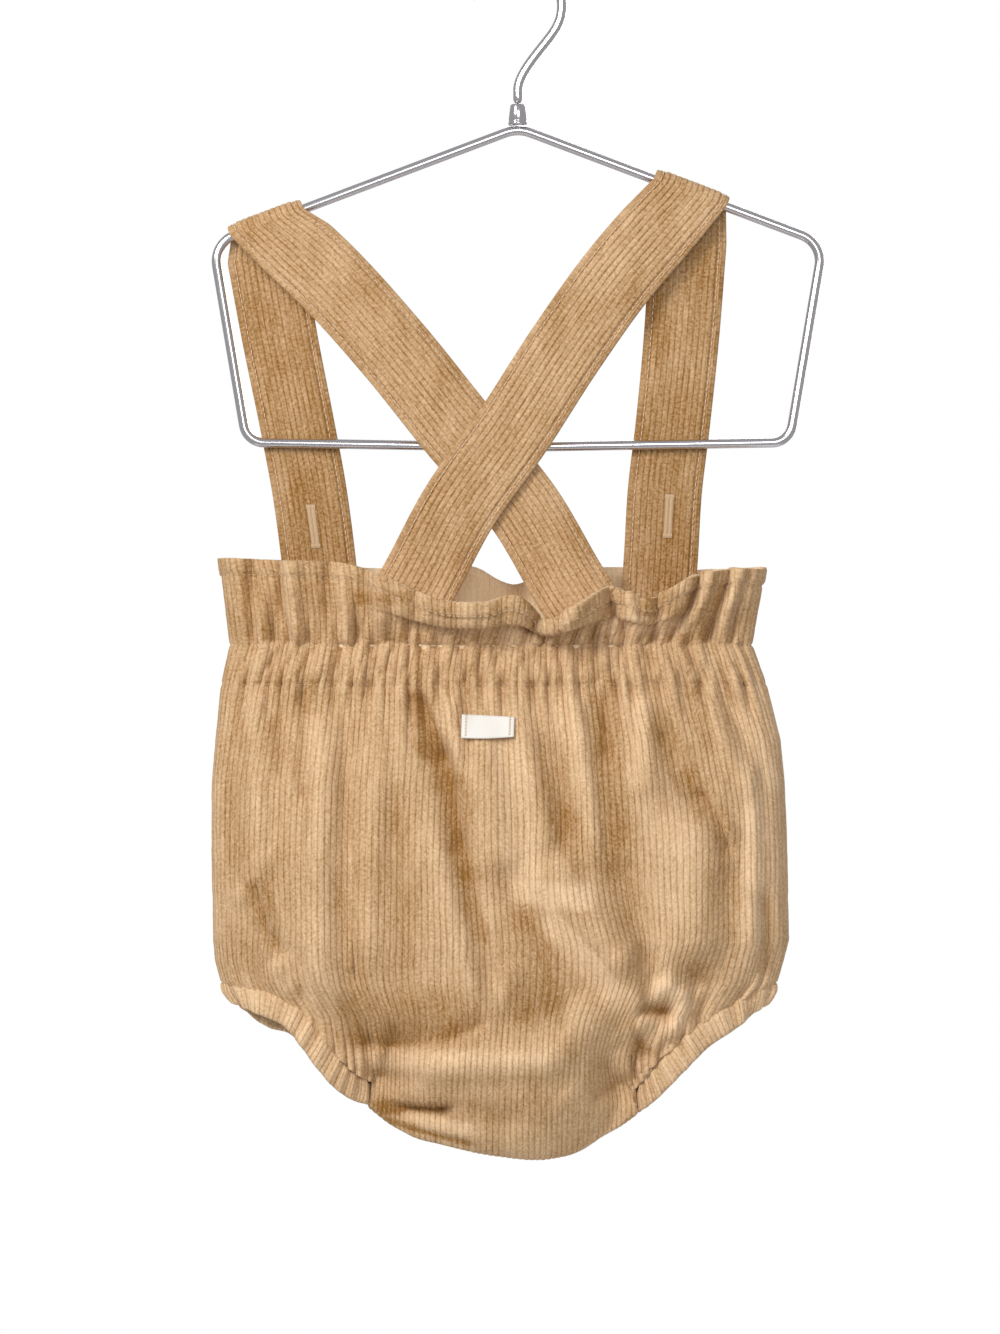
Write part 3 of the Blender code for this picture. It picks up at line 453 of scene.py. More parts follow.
def blurred(field, *reach):
    """A moving mean over 2·reach + 1 places on each axis, the field's edges repeated."""
    for axis, places in enumerate(reach):
        wide = 2 * places + 1
        padded = np.pad(field, [(places + 1, places) if k == axis else (0, 0) for k in (0, 1)], mode="edge")
        total = np.moveaxis(np.cumsum(padded, axis=axis), axis, 0)
        field = np.moveaxis((total[wide:] - total[:-wide]) / wide, 0, axis)
    return field


def tone_with_painted_shade(name, middle, side):
    """How light the cloth is drawn, 0.5 being even, as painted light and shade: lighter on crests and on slopes
    towards the upper left, darker in hollows and on slopes turned away.
    """
    normal = outward(middle)
    # Painted light and shade: slopes turned to the upper left, where the key lamp stands, come out lighter, and
    # crests lighter than hollows
    lean = 0.75 * side * normal[..., 0] + 0.65 * normal[..., 2]
    stands = side * middle[..., 1]
    tone = 0.5 + 0.22 * (lean - blurred(lean, 12, 45)) + 0.03 * (stands - blurred(stands, 7, 25))
    x, below = middle[..., 0] - BODY_CENTRE, WAIST_HEIGHT - middle[..., 2]
    # Darker on the free frill and the casing, as the photograph shows them
    tone = tone - 0.1 * ease(-below / 4) - 0.05 * bell((below - 9) / 9)
    ragged = x + 1.1 * uneven(x.shape, (5, 13), 41) + 0.7 * uneven(x.shape, (14, 30), 42)
    return np.clip(tone + NAP_AND_SHADE_GAIN * strokes(NAP_AND_SHADE_STROKES[name], ragged, below, 6), 0.05, 0.98)


def new_piece(name, corners, faces, loop_uv, material, nap_and_shade=None):
    """A mesh object at the origin, with the UV map `cloth` in wales across and along, and its tone of pile with
    painted shade and light.
    """
    mesh = bpy.data.meshes.new(name)
    mesh.from_pydata((corners * MM).tolist(), [], faces)
    if nap_and_shade is not None:
        mesh.attributes.new("nap_and_shade", "FLOAT", "POINT").data.foreach_set("value", nap_and_shade.astype(np.float32).ravel())
    if loop_uv is not None:
        mesh.uv_layers.new(name="cloth").data.foreach_set("uv", loop_uv.astype(np.float32).ravel())
    mesh.materials.append(material)
    mesh.shade_smooth()
    piece = bpy.data.objects.new(name, mesh)
    bpy.context.scene.collection.objects.link(piece)
    return piece


def grid_quads(rows, columns):
    """Row and column of the four corners of each quad of a grid, counter-clockwise from outside."""
    r, c = (g.ravel() for g in np.mgrid[0:rows, 0:columns])
    return np.stack([r, r + 1, r + 1, r], axis=1), np.stack([c, c, c + 1, c + 1], axis=1)


def cloth_shell(name, outer, inner, uv, material, lining, nap_and_shade=None, row_step=3, column_step=CUTS):
    """A wall of cloth: a fine outer grid, a coarser inner one in `lining`, and rims that join them."""
    rows, columns = outer.shape[:2]
    inner, inner_uv = inner[::row_step, ::column_step], uv[::row_step, ::column_step]
    fine = np.arange(rows * columns).reshape(rows, columns)
    coarse = fine.size + np.arange(inner.shape[0] * inner.shape[1]).reshape(inner.shape[:2])
    r, c = grid_quads(rows - 1, columns - 1)
    faces = fine[r, c].tolist()
    r, c = grid_quads(inner.shape[0] - 1, inner.shape[1] - 1)
    faces += coarse[r, c][:, ::-1].tolist()
    borders = (
        (fine[0], coarse[0], column_step), (fine[-1, ::-1], coarse[-1, ::-1], column_step),
        (fine[::-1, 0], coarse[::-1, 0], row_step), (fine[:, -1], coarse[:, -1], row_step),
    )
    for edge, behind, step in borders:
        mate = behind[(np.arange(len(edge)) + step // 2) // step]
        rim = np.stack([edge[:-1], edge[1:], mate[1:], mate[:-1]], axis=1)
        turns = mate[1:] != mate[:-1]
        faces += rim[turns].tolist() + rim[~turns][:, :3].tolist()
    corners = np.concatenate([outer.reshape(-1, 3), inner.reshape(-1, 3)])
    corner_uv = np.concatenate([uv.reshape(-1, 2), inner_uv.reshape(-1, 2)])
    if nap_and_shade is not None:
        nap_and_shade = np.concatenate([nap_and_shade.ravel(), np.full(inner[..., 0].size, 0.95)])
    piece = new_piece(name, corners, faces, corner_uv[np.concatenate(faces)], material, nap_and_shade)
    piece.data.materials.append(lining)
    on_inner = np.array([min(face) >= fine.size for face in faces], dtype=np.int32)
    piece.data.polygons.foreach_set("material_index", on_inner)
    return piece


def set_inputs(tree, node, inputs):
    """Each named input of a node is linked to a socket or set to a value."""
    for key, value in inputs.items():
        if isinstance(value, bpy.types.NodeSocket):
            tree.links.new(value, node.inputs[key])
        else:
            node.inputs[key].default_value = value


def add_node(tree, kind, inputs=None, **settings):
    """A shader node with its settings and its inputs."""
    made = tree.nodes.new(kind)
    for key, value in settings.items():
        setattr(made, key, value)
    set_inputs(tree, made, inputs or {})
    return made


def noise_field(tree, vector, scale, detail, **more):
    """Noise from 0 to 1 over a vector, its other inputs given by name."""
    inputs = {"Vector": vector, "Scale": scale, "Detail": detail, **more}
    return add_node(tree, "ShaderNodeTexNoise", inputs).outputs["Fac"]


def mixed_colour(tree, share, none, full):
    """The colour between two, by a share: `none` at 0 and `full` at 1."""
    return add_node(tree, "ShaderNodeMix", {"Factor": share, 6: none, 7: full}, data_type="RGBA").outputs[2]


def bumps(tree, height, strength, distance):
    """Normals that a height field gives the surface, its full depth in metres."""
    inputs = {"Height": height, "Strength": strength, "Distance": distance}
    return add_node(tree, "ShaderNodeBump", inputs).outputs["Normal"]


def new_material(name):
    """A material with nodes, its node tree and its shader."""
    made = bpy.data.materials.new(name)
    made.use_nodes = True
    return made, made.node_tree, made.node_tree.nodes["Principled BSDF"]


def shader_group(name, inputs, outputs):
    """An empty shader node group with named sockets, and its input and output nodes."""
    group = bpy.data.node_groups.new(name, "ShaderNodeTree")
    for socket, kind in inputs.items():
        group.interface.new_socket(socket, in_out="INPUT", socket_type=f"NodeSocket{kind}")
    for socket, kind in outputs.items():
        group.interface.new_socket(socket, in_out="OUTPUT", socket_type=f"NodeSocket{kind}")
    return group, group.nodes.new("NodeGroupInput").outputs, group.nodes.new("NodeGroupOutput").inputs


def pile_group():
    """Corduroy: pale ridges across the UV's wales with painted shade in the grooves between them, tufts, and
    soft patches of nap.
    """
    group, given, out = shader_group(
        "corduroy pile",
        {"Light": "Color", "Dark": "Color", "Nap and shade": "Float", "Patches": "Float", "Groove shade": "Float"},
        {"Color": "Color", "Height": "Float"},
    )

    def maths(operation, first, second=0.0, third=0.0):
        inputs = {0: first, 1: second, 2: third}
        return add_node(group, "ShaderNodeMath", inputs, operation=operation).outputs[0]

    weave = add_node(group, "ShaderNodeUVMap", uv_map="cloth").outputs["UV"]
    apart = add_node(group, "ShaderNodeSeparateXYZ", {0: weave}).outputs
    place = add_node(group, "ShaderNodeTexCoord").outputs["Object"]

    def noise(vector, scale, detail, stretch=(1, 1, 1)):
        stretched = add_node(group, "ShaderNodeVectorMath", {0: vector, 1: stretch}, operation="MULTIPLY")
        return noise_field(group, stretched.outputs[0], scale, detail, Roughness=0.72)

    wander = noise(weave, 0.9, 2, (1, 0.5, 1))
    across = maths("FRACT", maths("MULTIPLY_ADD", wander, 0.25, apart["X"]))
    from_top = maths("ABSOLUTE", maths("MULTIPLY_ADD", across, 2.0, -1.0))
    groove = maths("POWER", from_top, 5.0)
    tufts = noise(weave, 1.6, 5, (1.0, 1.3, 1))
    cords = noise(weave, 1.0, 2, (2.6, 0.14, 1))
    fuzz = noise(place, 1000.0, 3)
    patches = noise(place, 75.0, 4, (1, 1, 0.35))
    # The grooves' painted shade shows most where the cloth is drawn light, and each part is taken off its own
    # mean
    shade = given["Nap and shade"]
    for field, gain in ((tufts, 1.25), (cords, 0.6), (fuzz, 0.9), (patches, given["Patches"])):
        shade = maths("ADD", shade, maths("MULTIPLY", maths("SUBTRACT", field, 0.5), gain))
    crushed = maths("MULTIPLY_ADD", noise(place, 110.0, 2, (1, 1, 0.5)), 1.8, -0.35)
    depth = maths("MULTIPLY", crushed, maths("MULTIPLY_ADD", given["Nap and shade"], 0.6, 0.08))
    depth = maths("MULTIPLY", depth, given["Groove shade"])
    shade = maths("SUBTRACT", shade, maths("MULTIPLY", groove, depth))
    group.links.new(mixed_colour(group, shade, given["Dark"], given["Light"]), out["Color"])
    group.links.new(maths("MULTIPLY_ADD", tufts, 0.3, maths("MULTIPLY", groove, -0.5)), out["Height"])
    return group


PILE = pile_group()


def corduroy(name, light, dark, patches, groove_shade):
    """Corduroy in its own tones: a rough, nappy surface whose pile catches the light at its edges."""
    made, tree, shader = new_material(name)
    # The cloth's tone from the mesh: the pile's own tone with painted shade and light
    nap_and_shade = add_node(tree, "ShaderNodeAttribute", attribute_name="nap_and_shade").outputs["Fac"]
    tones = {"Light": (*light, 1), "Dark": (*dark, 1), "Nap and shade": nap_and_shade, "Patches": patches, "Groove shade": groove_shade}
    pile = add_node(tree, "ShaderNodeGroup", node_tree=PILE)
    set_inputs(tree, pile, tones)
    set_inputs(tree, shader, {
        "Base Color": pile.outputs["Color"],
        "Normal": bumps(tree, pile.outputs["Height"], 0.6, 0.0007),
        "Roughness": 0.95,
        "Specular IOR Level": 0.15,
        "Sheen Weight": 0.35,
        "Sheen Roughness": 0.45,
        "Sheen Tint": (1.0, 0.84, 0.62, 1),
    })
    return made


BODY_CLOTH = corduroy("body corduroy", (0.835, 0.592, 0.367), (0.28, 0.13, 0.026), 0.7, 1.0)
WRONG_SIDE = corduroy("wrong side of the corduroy", (0.90, 0.70, 0.47), (0.50, 0.34, 0.20), 0.3, 0.0)


def even_places(name):
    """Places across a panel that give each wale the same width of cloth on every row."""
    columns = PANEL_WALES * CUTS + 1
    place = np.tile(np.linspace(-1, 1, columns), (FRILL_ROWS + CASING_ROWS + BODY_ROWS, 1))
    place = np.sign(place) * (1 - (1 - np.abs(place)) ** 1.15)
    flat = place.copy()
    points = panel_middle(name, place)
    step = np.hypot(np.diff(points[..., 0]), np.diff(points[..., 1]))
    run = np.concatenate([np.zeros((len(step), 1)), np.cumsum(step, axis=1)], axis=1)
    run /= run[:, -1:]
    even = np.linspace(0, 1, columns)
    place = np.stack([np.interp(even, r, p) for r, p in zip(run, place)])
    # Low down, where the panel rounds under, each wale runs on as it came
    last = FRILL_ROWS + CASING_ROWS + int(0.62 * BODY_ROWS)
    place[last:] = place[last]
    for _ in range(260):
        place[1:-1] = (place[:-2] + 2 * place[1:-1] + place[2:]) / 4
    return flat + 0.75 * (place - flat)


def wale_relief(across, along_, seed):
    """Height of the pile: a rounded ridge to each wale with a narrow groove, worn unevenly along it."""
    phase = across - np.floor(across)
    ridge = 1 - np.abs(2 * phase - 1) ** 4
    worn = 1 + 0.3 * uneven(along_.shape, (2, CUTS), seed)
    return WALE_HEIGHT * ridge * (worn + 0.25 * uneven(along_.shape, (9, 5 * CUTS), seed + 1))


def stitches(name, starts, ends, normals, radius, material):
    """Short raised stitches: each is a six-sided rod bowed up out of the cloth and sunk at both ends."""
    starts, ends, normals = (np.concatenate(parts) for parts in (starts, ends, normals))
    share = np.linspace(0, 1, 5)
    turn = np.linspace(0, 2 * np.pi, 6, endpoint=False)
    way = ends - starts
    length = np.linalg.norm(way, axis=1)[:, None]
    beside = np.cross(way / length, normals)
    arch = np.sin(np.pi * share)
    centre = starts[:, None] + way[:, None] * share[None, :, None]
    centre = centre + normals[:, None] * ((arch - 0.6) * radius)[None, :, None]
    thick = radius * (0.55 + 0.45 * arch)
    ring = (
        beside[:, None, None] * np.cos(turn)[None, None, :, None]
        + normals[:, None, None] * np.sin(turn)[None, None, :, None]
    )
    points = centre[:, :, None] + ring * thick[None, :, None, None]
    count = len(starts)
    r, c = grid_quads(4, 6)
    one = r * 6 + c % 6
    base = (np.arange(count) * 30)[:, None, None]
    faces = (base + one).reshape(-1, 4).tolist()
    faces += (base[:, 0] + np.arange(6)[::-1]).tolist() + (base[:, 0] + 24 + np.arange(6)).tolist()
    return new_piece(name, points.reshape(-1, 3), faces, None, material)


def thread_material(name, colour):
    """Sewing cotton: fine twist across each stitch, matt."""
    made, tree, shader = new_material(name)
    place = add_node(tree, "ShaderNodeTexCoord").outputs["Object"]
    twist = noise_field(tree, place, 2600.0, 1.0)
    darker, paler = ((*[min(k * gain, 1) for k in colour], 1) for gain in (0.75, 1.2))
    set_inputs(tree, shader, {
        "Base Color": mixed_colour(tree, twist, darker, paler),
        "Normal": bumps(tree, twist, 0.4, 0.0002),
        "Roughness": 0.8,
        "Sheen Weight": 0.2,
    })
    return made


SEWING = thread_material("pale thread", (0.64, 0.45, 0.27))
STITCH_SIZE = 3.4  # columns of the cloth under one stitch

for name, side in (("back", -1), ("front", 1)):
    middle = panel_middle(name, even_places(name))
    across = np.arange(PANEL_WALES * CUTS + 1) / CUTS * np.ones(len(middle))[:, None]
    run = np.concatenate([
        np.zeros((1, middle.shape[1])), np.cumsum(np.linalg.norm(np.diff(middle, axis=0), axis=2), axis=0)
    ])
    if side == 1:
        middle, run = middle[:, ::-1], run[:, ::-1]
    normal = outward(middle)
    relief = wale_relief(across, run, 7 + side)
    # The hem at the frill's edge is three layers thick, and the stitch lines pull the pile in
    hem = 0.9 * ease((HEM - run) / 1.5)
    casing_top, casing_low = run[FRILL_ROWS], run[FRILL_ROWS + CASING_ROWS - 1]
    pull = sum(bell((run - at) / 0.9) for at in (HEM, casing_top, casing_low))
    pull = pull * (0.8 + 0.3 * uneven(run.shape, (9, 9), 12))
    # At the leg bands the panel is sewn down flat
    sewn = bell((run[-1] - run) / 2.2)
    lift = CLOTH / 2 + hem + relief * (1 - 0.6 * np.clip(pull, 0, 1)) - 0.45 * pull - 0.5 * sewn
    outer = middle + normal * lift[..., None]
    inner = middle - normal * (CLOTH / 2 + 0.5 * hem[..., None])
    # Below the frill, the coarser inner face keeps behind the creases of the fine one
    behind = side * inner[FRILL_ROWS:, :, 1]
    for axis, reach in ((0, 3), (1, CUTS)):
        behind = np.min([np.roll(behind, k, axis) for k in range(-reach, reach + 1)], axis=0)
    inner[FRILL_ROWS + 3:-3, CUTS:-CUTS, 1] = side * behind[3:-3, CUTS:-CUTS]
    # Both panels reach the seam's plane at their sides and along the crotch
    for face in (outer, inner):
        face[..., 1] = side * np.maximum(side * face[..., 1], 0)
        face[:, [0, -1], 1] = -0.02 * side
        face[-1, :, 1] = np.where(side * middle[-1, :, 1] < 1.0, -0.02 * side, face[-1, :, 1])
    uv = np.stack([across, run / WALE], axis=-1)
    nap_and_shade = tone_with_painted_shade(name, middle, side)
    if name == "back":
        cloth_front = outer.reshape(-1, 3)
    panel = cloth_shell(f"{name}_panel_cloth", outer, inner, uv, BODY_CLOTH, WRONG_SIDE, nap_and_shade)
    # One stitch to a wale along the hem and along both edges of the casing
    begin = np.arange(1, PANEL_WALES - 1) * CUTS + 1
    starts, ends, ways = [], [], []
    hem_row = int(np.median(np.abs(run[:FRILL_ROWS] - HEM).argmin(axis=0)))
    for row in (hem_row, FRILL_ROWS, FRILL_ROWS + CASING_ROWS - 1):
        starts.append(outer[row, begin])
        after = begin + int(STITCH_SIZE)
        ends.append(outer[row, after])
        ways.append(normal[row, begin])
    seam = stitches(f"{name}_panel_stitching", starts, ends, ways, THREAD / 2, SEWING)
    for piece in (panel, seam):
        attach(piece, "root")
    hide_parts(f"{name}_panel")


# The leg bands: the panels' lower edges are turned up over elastic and stitched, so the cords run across
# them and they stand in small even gathers.
BAND_WALES = 96
BAND_ACROSS = 26
BAND_CLOTH = 2.2
BAND_NAP = 0.68


def leg_band(side):
    """A flattened ring round the leg. Its profile goes down the outer face, round the edge and up inside."""
    columns = BAND_WALES * CUTS
    turn = np.linspace(0, 2 * np.pi, columns, endpoint=False)
    lead = -1 if side == "left" else 1
    q = (1 - np.cos(turn)) / 2
    is_front = lead * np.sin(turn) > 0
    s = np.linspace(0, 1, BAND_ACROSS, endpoint=False)[:, None]
    reach = BAND - BAND_CLOTH / 2
    # Share of the way down the outer face, and how far out of the middle of the wall the profile lies
    down = np.interp(s, (0, 0.45, 0.5, 0.55, 1), (0, 1, 1.12, 1, 0))
    out = np.interp(s, (0, 0.02, 0.45, 0.5, 0.55, 0.98, 1), (0.3, 1, 1, 0, -1, -1, 0.3))
    gathers = 0.7 * gather_wave(turn / (2 * np.pi), LEG_GATHERS)
    gathers = gathers + 0.6 * uneven((BAND_ACROSS, columns), (13, 11), 22)
    swell = 0.5 * np.sin(np.pi * np.clip(down, 0, 1)) * (out > 0) + (1.2 + 0.35 * down) * gathers
    swell = swell * (0.25 + 0.75 * ease((1 - q) / 0.04))
    relief = wale_relief(np.arange(columns) / CUTS + 0 * s, s * np.ones(columns), 21)
    stitched = bell((down - 0.1) * reach / 0.8) * (out > 0)
    lift = out * (BAND_CLOTH / 2 + relief * (1 - 0.6 * stitched) - 0.4 * stitched) + swell
    centre = np.array([leg_curve(side, q, 0 * q + BAND - d * reach, is_front) for d in down[:, 0]])
    # Outwards is front to back along the ring, and in the plane of the seams at its two ends
    across = band_way(side, q)
    end_way = lead * np.sign(np.cos(turn))[:, None] * np.stack([np.abs(across[:, 1]), -across[:, 0]], axis=-1)
    flat = lead * np.sin(turn)
    ends = np.abs(np.cos(turn)) ** 6
    x = centre[..., 0] + BODY_CENTRE + lift * ends * end_way[:, 0]
    z = WAIST_HEIGHT - centre[..., 1] + lift * ends * end_way[:, 1]
    y = flat * (LEG_DEPTH + lift)
    points = np.stack([x, y, z], axis=-1)
    r, c = grid_quads(BAND_ACROSS, columns)
    index = (r % BAND_ACROSS) * columns + c % columns
    if side == "right":
        index, r, c = index[:, ::-1], r[:, ::-1], c[:, ::-1]
    uv = np.stack([c / CUTS, r * (2 * BAND / BAND_ACROSS) / WALE], axis=-1)
    # Painted shade: the band is drawn lighter on the crests of its gathers and darker in their hollows
    nap_and_shade = BAND_NAP + 0.12 * gathers
    return new_piece(
        f"leg_band_{side}_cloth", points.reshape(-1, 3), index.tolist(), uv.reshape(-1, 2), BODY_CLOTH, nap_and_shade
    )


for side in ("left", "right"):
    band = leg_band(side)
    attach(band, "root")
    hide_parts(f"leg_band_{side}")


# The straps: two long strips of the same corduroy, each sewn double and turned, with the cords running along
# them and a line of top-stitching inside each edge. They fold over the hanger's shoulders and cross behind.
STRAP_CLOTH = 3.0
STRAP_WALES = 12
STRAP_ROWS = 241
STITCH_PITCH = 2.8
STITCH_INSET = 1.7
STRAP_HALF = 16.0
STRAP_NAP, PAINTED_INNER_SHADE = 0.45, 0.18
RUN_POINTS, FOLD_POINTS = 61, 13  # along each run of a strap, and round its fold over the wire
SWING = 42.0  # how near the fold a strap's rows begin to swing round to the wire
WIRE = 4.1
APEX_HEIGHT = -70.0
SHOULDER_SLOPE = math.radians(20.7)
STRAPS = {
    "strap_left": {
        "wire": -109.0,
        "back": table(
            "x height depth width",
            (38, -292.6, -8.6, 32), (23.5, -270.9, -7.6, 32), (3, -236.1, -5.4, 32),
            (-26.1, -201.3, -5.2, 33), (-54.1, -166.5, -4.6, 33), (-85.7, -131.7, -3.9, 33),
            (-97.5, -120.6, -3.9, 33),
        ),
        "front": table(
            "x height depth width",
            (-110.2, -123, 3.9, 33), (-104.3, -157.8, 4.0, 32), (-95.7, -201.3, 4.4, 31.5),
            (-90.9, -227.4, 5.2, 31.5), (-87.4, -253.5, 6.4, 31.5), (-83.9, -290, 7.4, 31.5),
            (-82, -318, 8.2, 31.5),
        ),
    },
    "strap_right": {
        "wire": 74.8,
        "back": table(
            "x height depth width",
            (-57.8, -292.6, -8.6, 33), (-43.5, -268.7, -8.7, 33), (-26.1, -236.1, -8.9, 33),
            (-1.7, -201.3, -8.9, 33), (20.7, -166.5, -7.4, 33), (45.7, -131.7, -5.0, 33),
            (60, -115, -4.1, 33),
        ),
        "front": table(
            "x height depth width",
            (74.2, -116, 3.9, 33), (71.5, -157.8, 4.0, 32), (67.2, -201.3, 4.4, 31.5),
            (64.1, -227.4, 5.2, 31.5), (62.6, -253.5, 6.4, 31.5), (60.3, -290, 7.4, 31.5),
            (59, -318, 8.2, 31.5),
        ),
    },
}


def strap_path(plan, rows):
    """A strap's middle line, half width across and length, from the back waist over the wire to the front.

    The rows lie square to the strap on its runs and swing round to the wire's own direction where it folds.
    """
    lean = math.copysign(1, -plan["wire"]) * SHOULDER_SLOPE
    wire_way = np.array([math.cos(lean), math.sin(lean)])
    wire_up = np.array([-math.sin(lean), math.cos(lean)])
    on_wire = np.array([plan["wire"], APEX_HEIGHT - abs(plan["wire"]) * math.tan(SHOULDER_SLOPE)])
    radius = WIRE / 2 + SEAM + STRAP_CLOTH / 2
    turn = np.linspace(0, math.pi, FOLD_POINTS)
    spot = on_wire + radius * np.sin(turn)[:, None] * wire_up
    bend = np.column_stack([spot, -radius * np.cos(turn), np.full(FOLD_POINTS, plan["back"]["width"][-1])])
    back, front = (along(plan[k], RUN_POINTS) for k in ("back", "front"))
    line = np.concatenate([back, bend, front])
    tangent = np.gradient(line[:, :2], axis=0)
    past = RUN_POINTS + FOLD_POINTS
    tangent[RUN_POINTS - 1] = line[RUN_POINTS - 1, :2] - line[RUN_POINTS - 2, :2]
    tangent[past] = line[past + 1, :2] - line[past, :2]
    tangent[RUN_POINTS:past] = wire_up
    tangent /= np.linalg.norm(tangent, axis=1)[:, None]
    square = np.stack([tangent[:, 1], -tangent[:, 0]], axis=1)
    square *= np.sign(square @ wire_way)[:, None]
    near = np.linalg.norm(line[:, :2] - on_wire, axis=1)
    way = square + (wire_way - square) * (1 - ease(near / SWING))[:, None]
    way /= np.linalg.norm(way, axis=1)[:, None]
    half = line[:, 3] / np.abs(way[:, 0] * tangent[:, 1] - way[:, 1] * tangent[:, 0]) / 2
    spine = np.stack([line[:, 0], line[:, 2], line[:, 1]], axis=1)
    across = np.stack([way[:, 0], 0 * half, way[:, 1]], axis=1) * half[:, None]
    # More rows, evenly spaced along the strap
    run = walked(spine)
    even = np.linspace(0, run[-1], rows)
    spine, across = (read_at(even, run, line) for line in (spine, across))
    for _ in range(2):
        across[1:-1] = (across[:-2] + 2 * across[1:-1] + across[2:]) / 4
    return spine, across, even


def strap_face(plan, rows):
    """The strap's middle line, the vector to its edge and its face's normal at each row."""
    spine, across, run = strap_path(plan, rows)
    normal = np.cross(across, np.gradient(spine, axis=0))
    normal /= np.linalg.norm(normal, axis=1)[:, None]
    return spine, across, normal, run


def strap_body(name, plan):
    """The strap as a closed profile carried along its line: wales on both faces and rounded folded edges."""
    spine, across, normal, run = strap_face(plan, STRAP_ROWS)
    face = np.linspace(-1, 1, STRAP_WALES * CUTS + 1)
    corner = np.linspace(0, np.pi, 7)[1:-1]
    # Profile: along the first face, round one edge, back along the other face and round the other edge
    edge_out = STRAP_CLOTH / 2 / STRAP_HALF
    bulge = edge_out * np.sin(corner)
    side_way = np.concatenate([face, 1 + bulge, face[::-1], -1 - bulge])
    through = np.concatenate([np.ones_like(face), np.cos(corner), -np.ones_like(face), -np.cos(corner)])
    wales = np.concatenate([
        (face + 1) / 2 * STRAP_WALES, np.full(len(corner), STRAP_WALES),
        (face[::-1] + 1) / 2 * STRAP_WALES, np.zeros(len(corner)),
    ])
    relief = wale_relief(np.tile(wales, (STRAP_ROWS, 1)), np.zeros((STRAP_ROWS, len(wales))), 31)
    inset = (1 - np.abs(side_way)) * STRAP_HALF
    sewn = bell((inset - STITCH_INSET) / 0.8) * (np.abs(through) > 0.9)
    pinch = 0.75 + 0.25 * np.cos(2 * np.pi * run / STITCH_PITCH)[:, None]
    swell = 0.35 * ease(inset / 5) + 0.25 * uneven(relief.shape, (14, 30), 33)
    lift = through * (STRAP_CLOTH / 2 - 0.5 + (relief + swell) * (1 - 0.6 * sewn) - 0.75 * sewn * pinch)
    points = (
        spine[:, None] + side_way[None, :, None] * across[:, None] * (1 - 0.06)
        + lift[..., None] * normal[:, None]
    )
    columns = len(wales)
    r, c = grid_quads(STRAP_ROWS - 1, columns)
    index = r * columns + c % columns
    last = (STRAP_ROWS - 1) * columns
    faces = index.tolist() + [list(range(columns))[::-1], list(range(last, last + columns))]
    u = np.concatenate([wales, wales[:1]])
    uv = np.concatenate([
        np.stack([u[c], run[r] / WALE], axis=-1).reshape(-1, 2),
        np.stack([wales[::-1], np.zeros(columns)], axis=1), np.stack([wales, np.ones(columns)], axis=1),
    ])
    # Painted shade: the inner face of the front runs, which hangs behind the hanger's bar, is set a little
    # darker
    inner_face = ease((spine[:, 1] + 1) / 2)[:, None] * (normal[:, 1:2] * through < 0)
    nap_and_shade = STRAP_NAP - PAINTED_INNER_SHADE * inner_face + 0.08 * uneven(relief.shape, (12, 24), 35)
    return new_piece(f"{name}_cloth", points.reshape(-1, 3), faces, uv, STRAP_CLOTH_TONE, nap_and_shade)


STRAP_CLOTH_TONE = corduroy("strap corduroy", (0.82, 0.575, 0.355), (0.275, 0.13, 0.028), 0.7, 1.7)
THREAD_TONE = thread_material("tan thread", (0.74, 0.54, 0.35))
BUTTONHOLE_TONE = thread_material("buttonhole thread", (0.60, 0.42, 0.25))

for name, plan in STRAPS.items():
    strap = strap_body(name, plan)
    spine, across, normal, run = strap_face(plan, 1201)
    count = int(run[-1] / STITCH_PITCH)
    begin = (np.arange(count) + 0.12) * STITCH_PITCH
    finish = begin + 0.72 * STITCH_PITCH
    starts, ends, ways = [], [], []
    for face_side in (1, -1):
        for edge in (1, -1):
            half = np.linalg.norm(across, axis=1)
            share = edge * (half - 1 - STITCH_INSET) / half
            lift = face_side * (STRAP_CLOTH / 2 - 0.35)
            seam = spine + across * share[:, None] + normal * lift
            starts.append(read_at(begin, run, seam))
            ends.append(read_at(finish, run, seam))
            ways.append(face_side * read_at(begin, run, normal))
    seam = stitches(f"{name}_stitching", starts, ends, ways, THREAD / 2, THREAD_TONE)
    for piece in (strap, seam):
        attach(piece, "root")
    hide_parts(name)


# The buttonholes worked in each strap's front end: a slit edged with close bars of pale thread.
BUTTONHOLES = {"strap_left": (-243.0, -0.4), "strap_right": (-238.5, 2.2)}  # height, and shift in x
BUTTONHOLE_LENGTH, BUTTONHOLE_WIDTH = 17.0, 3.6
SIDE_BARS, TIP_BARS = 46, 9

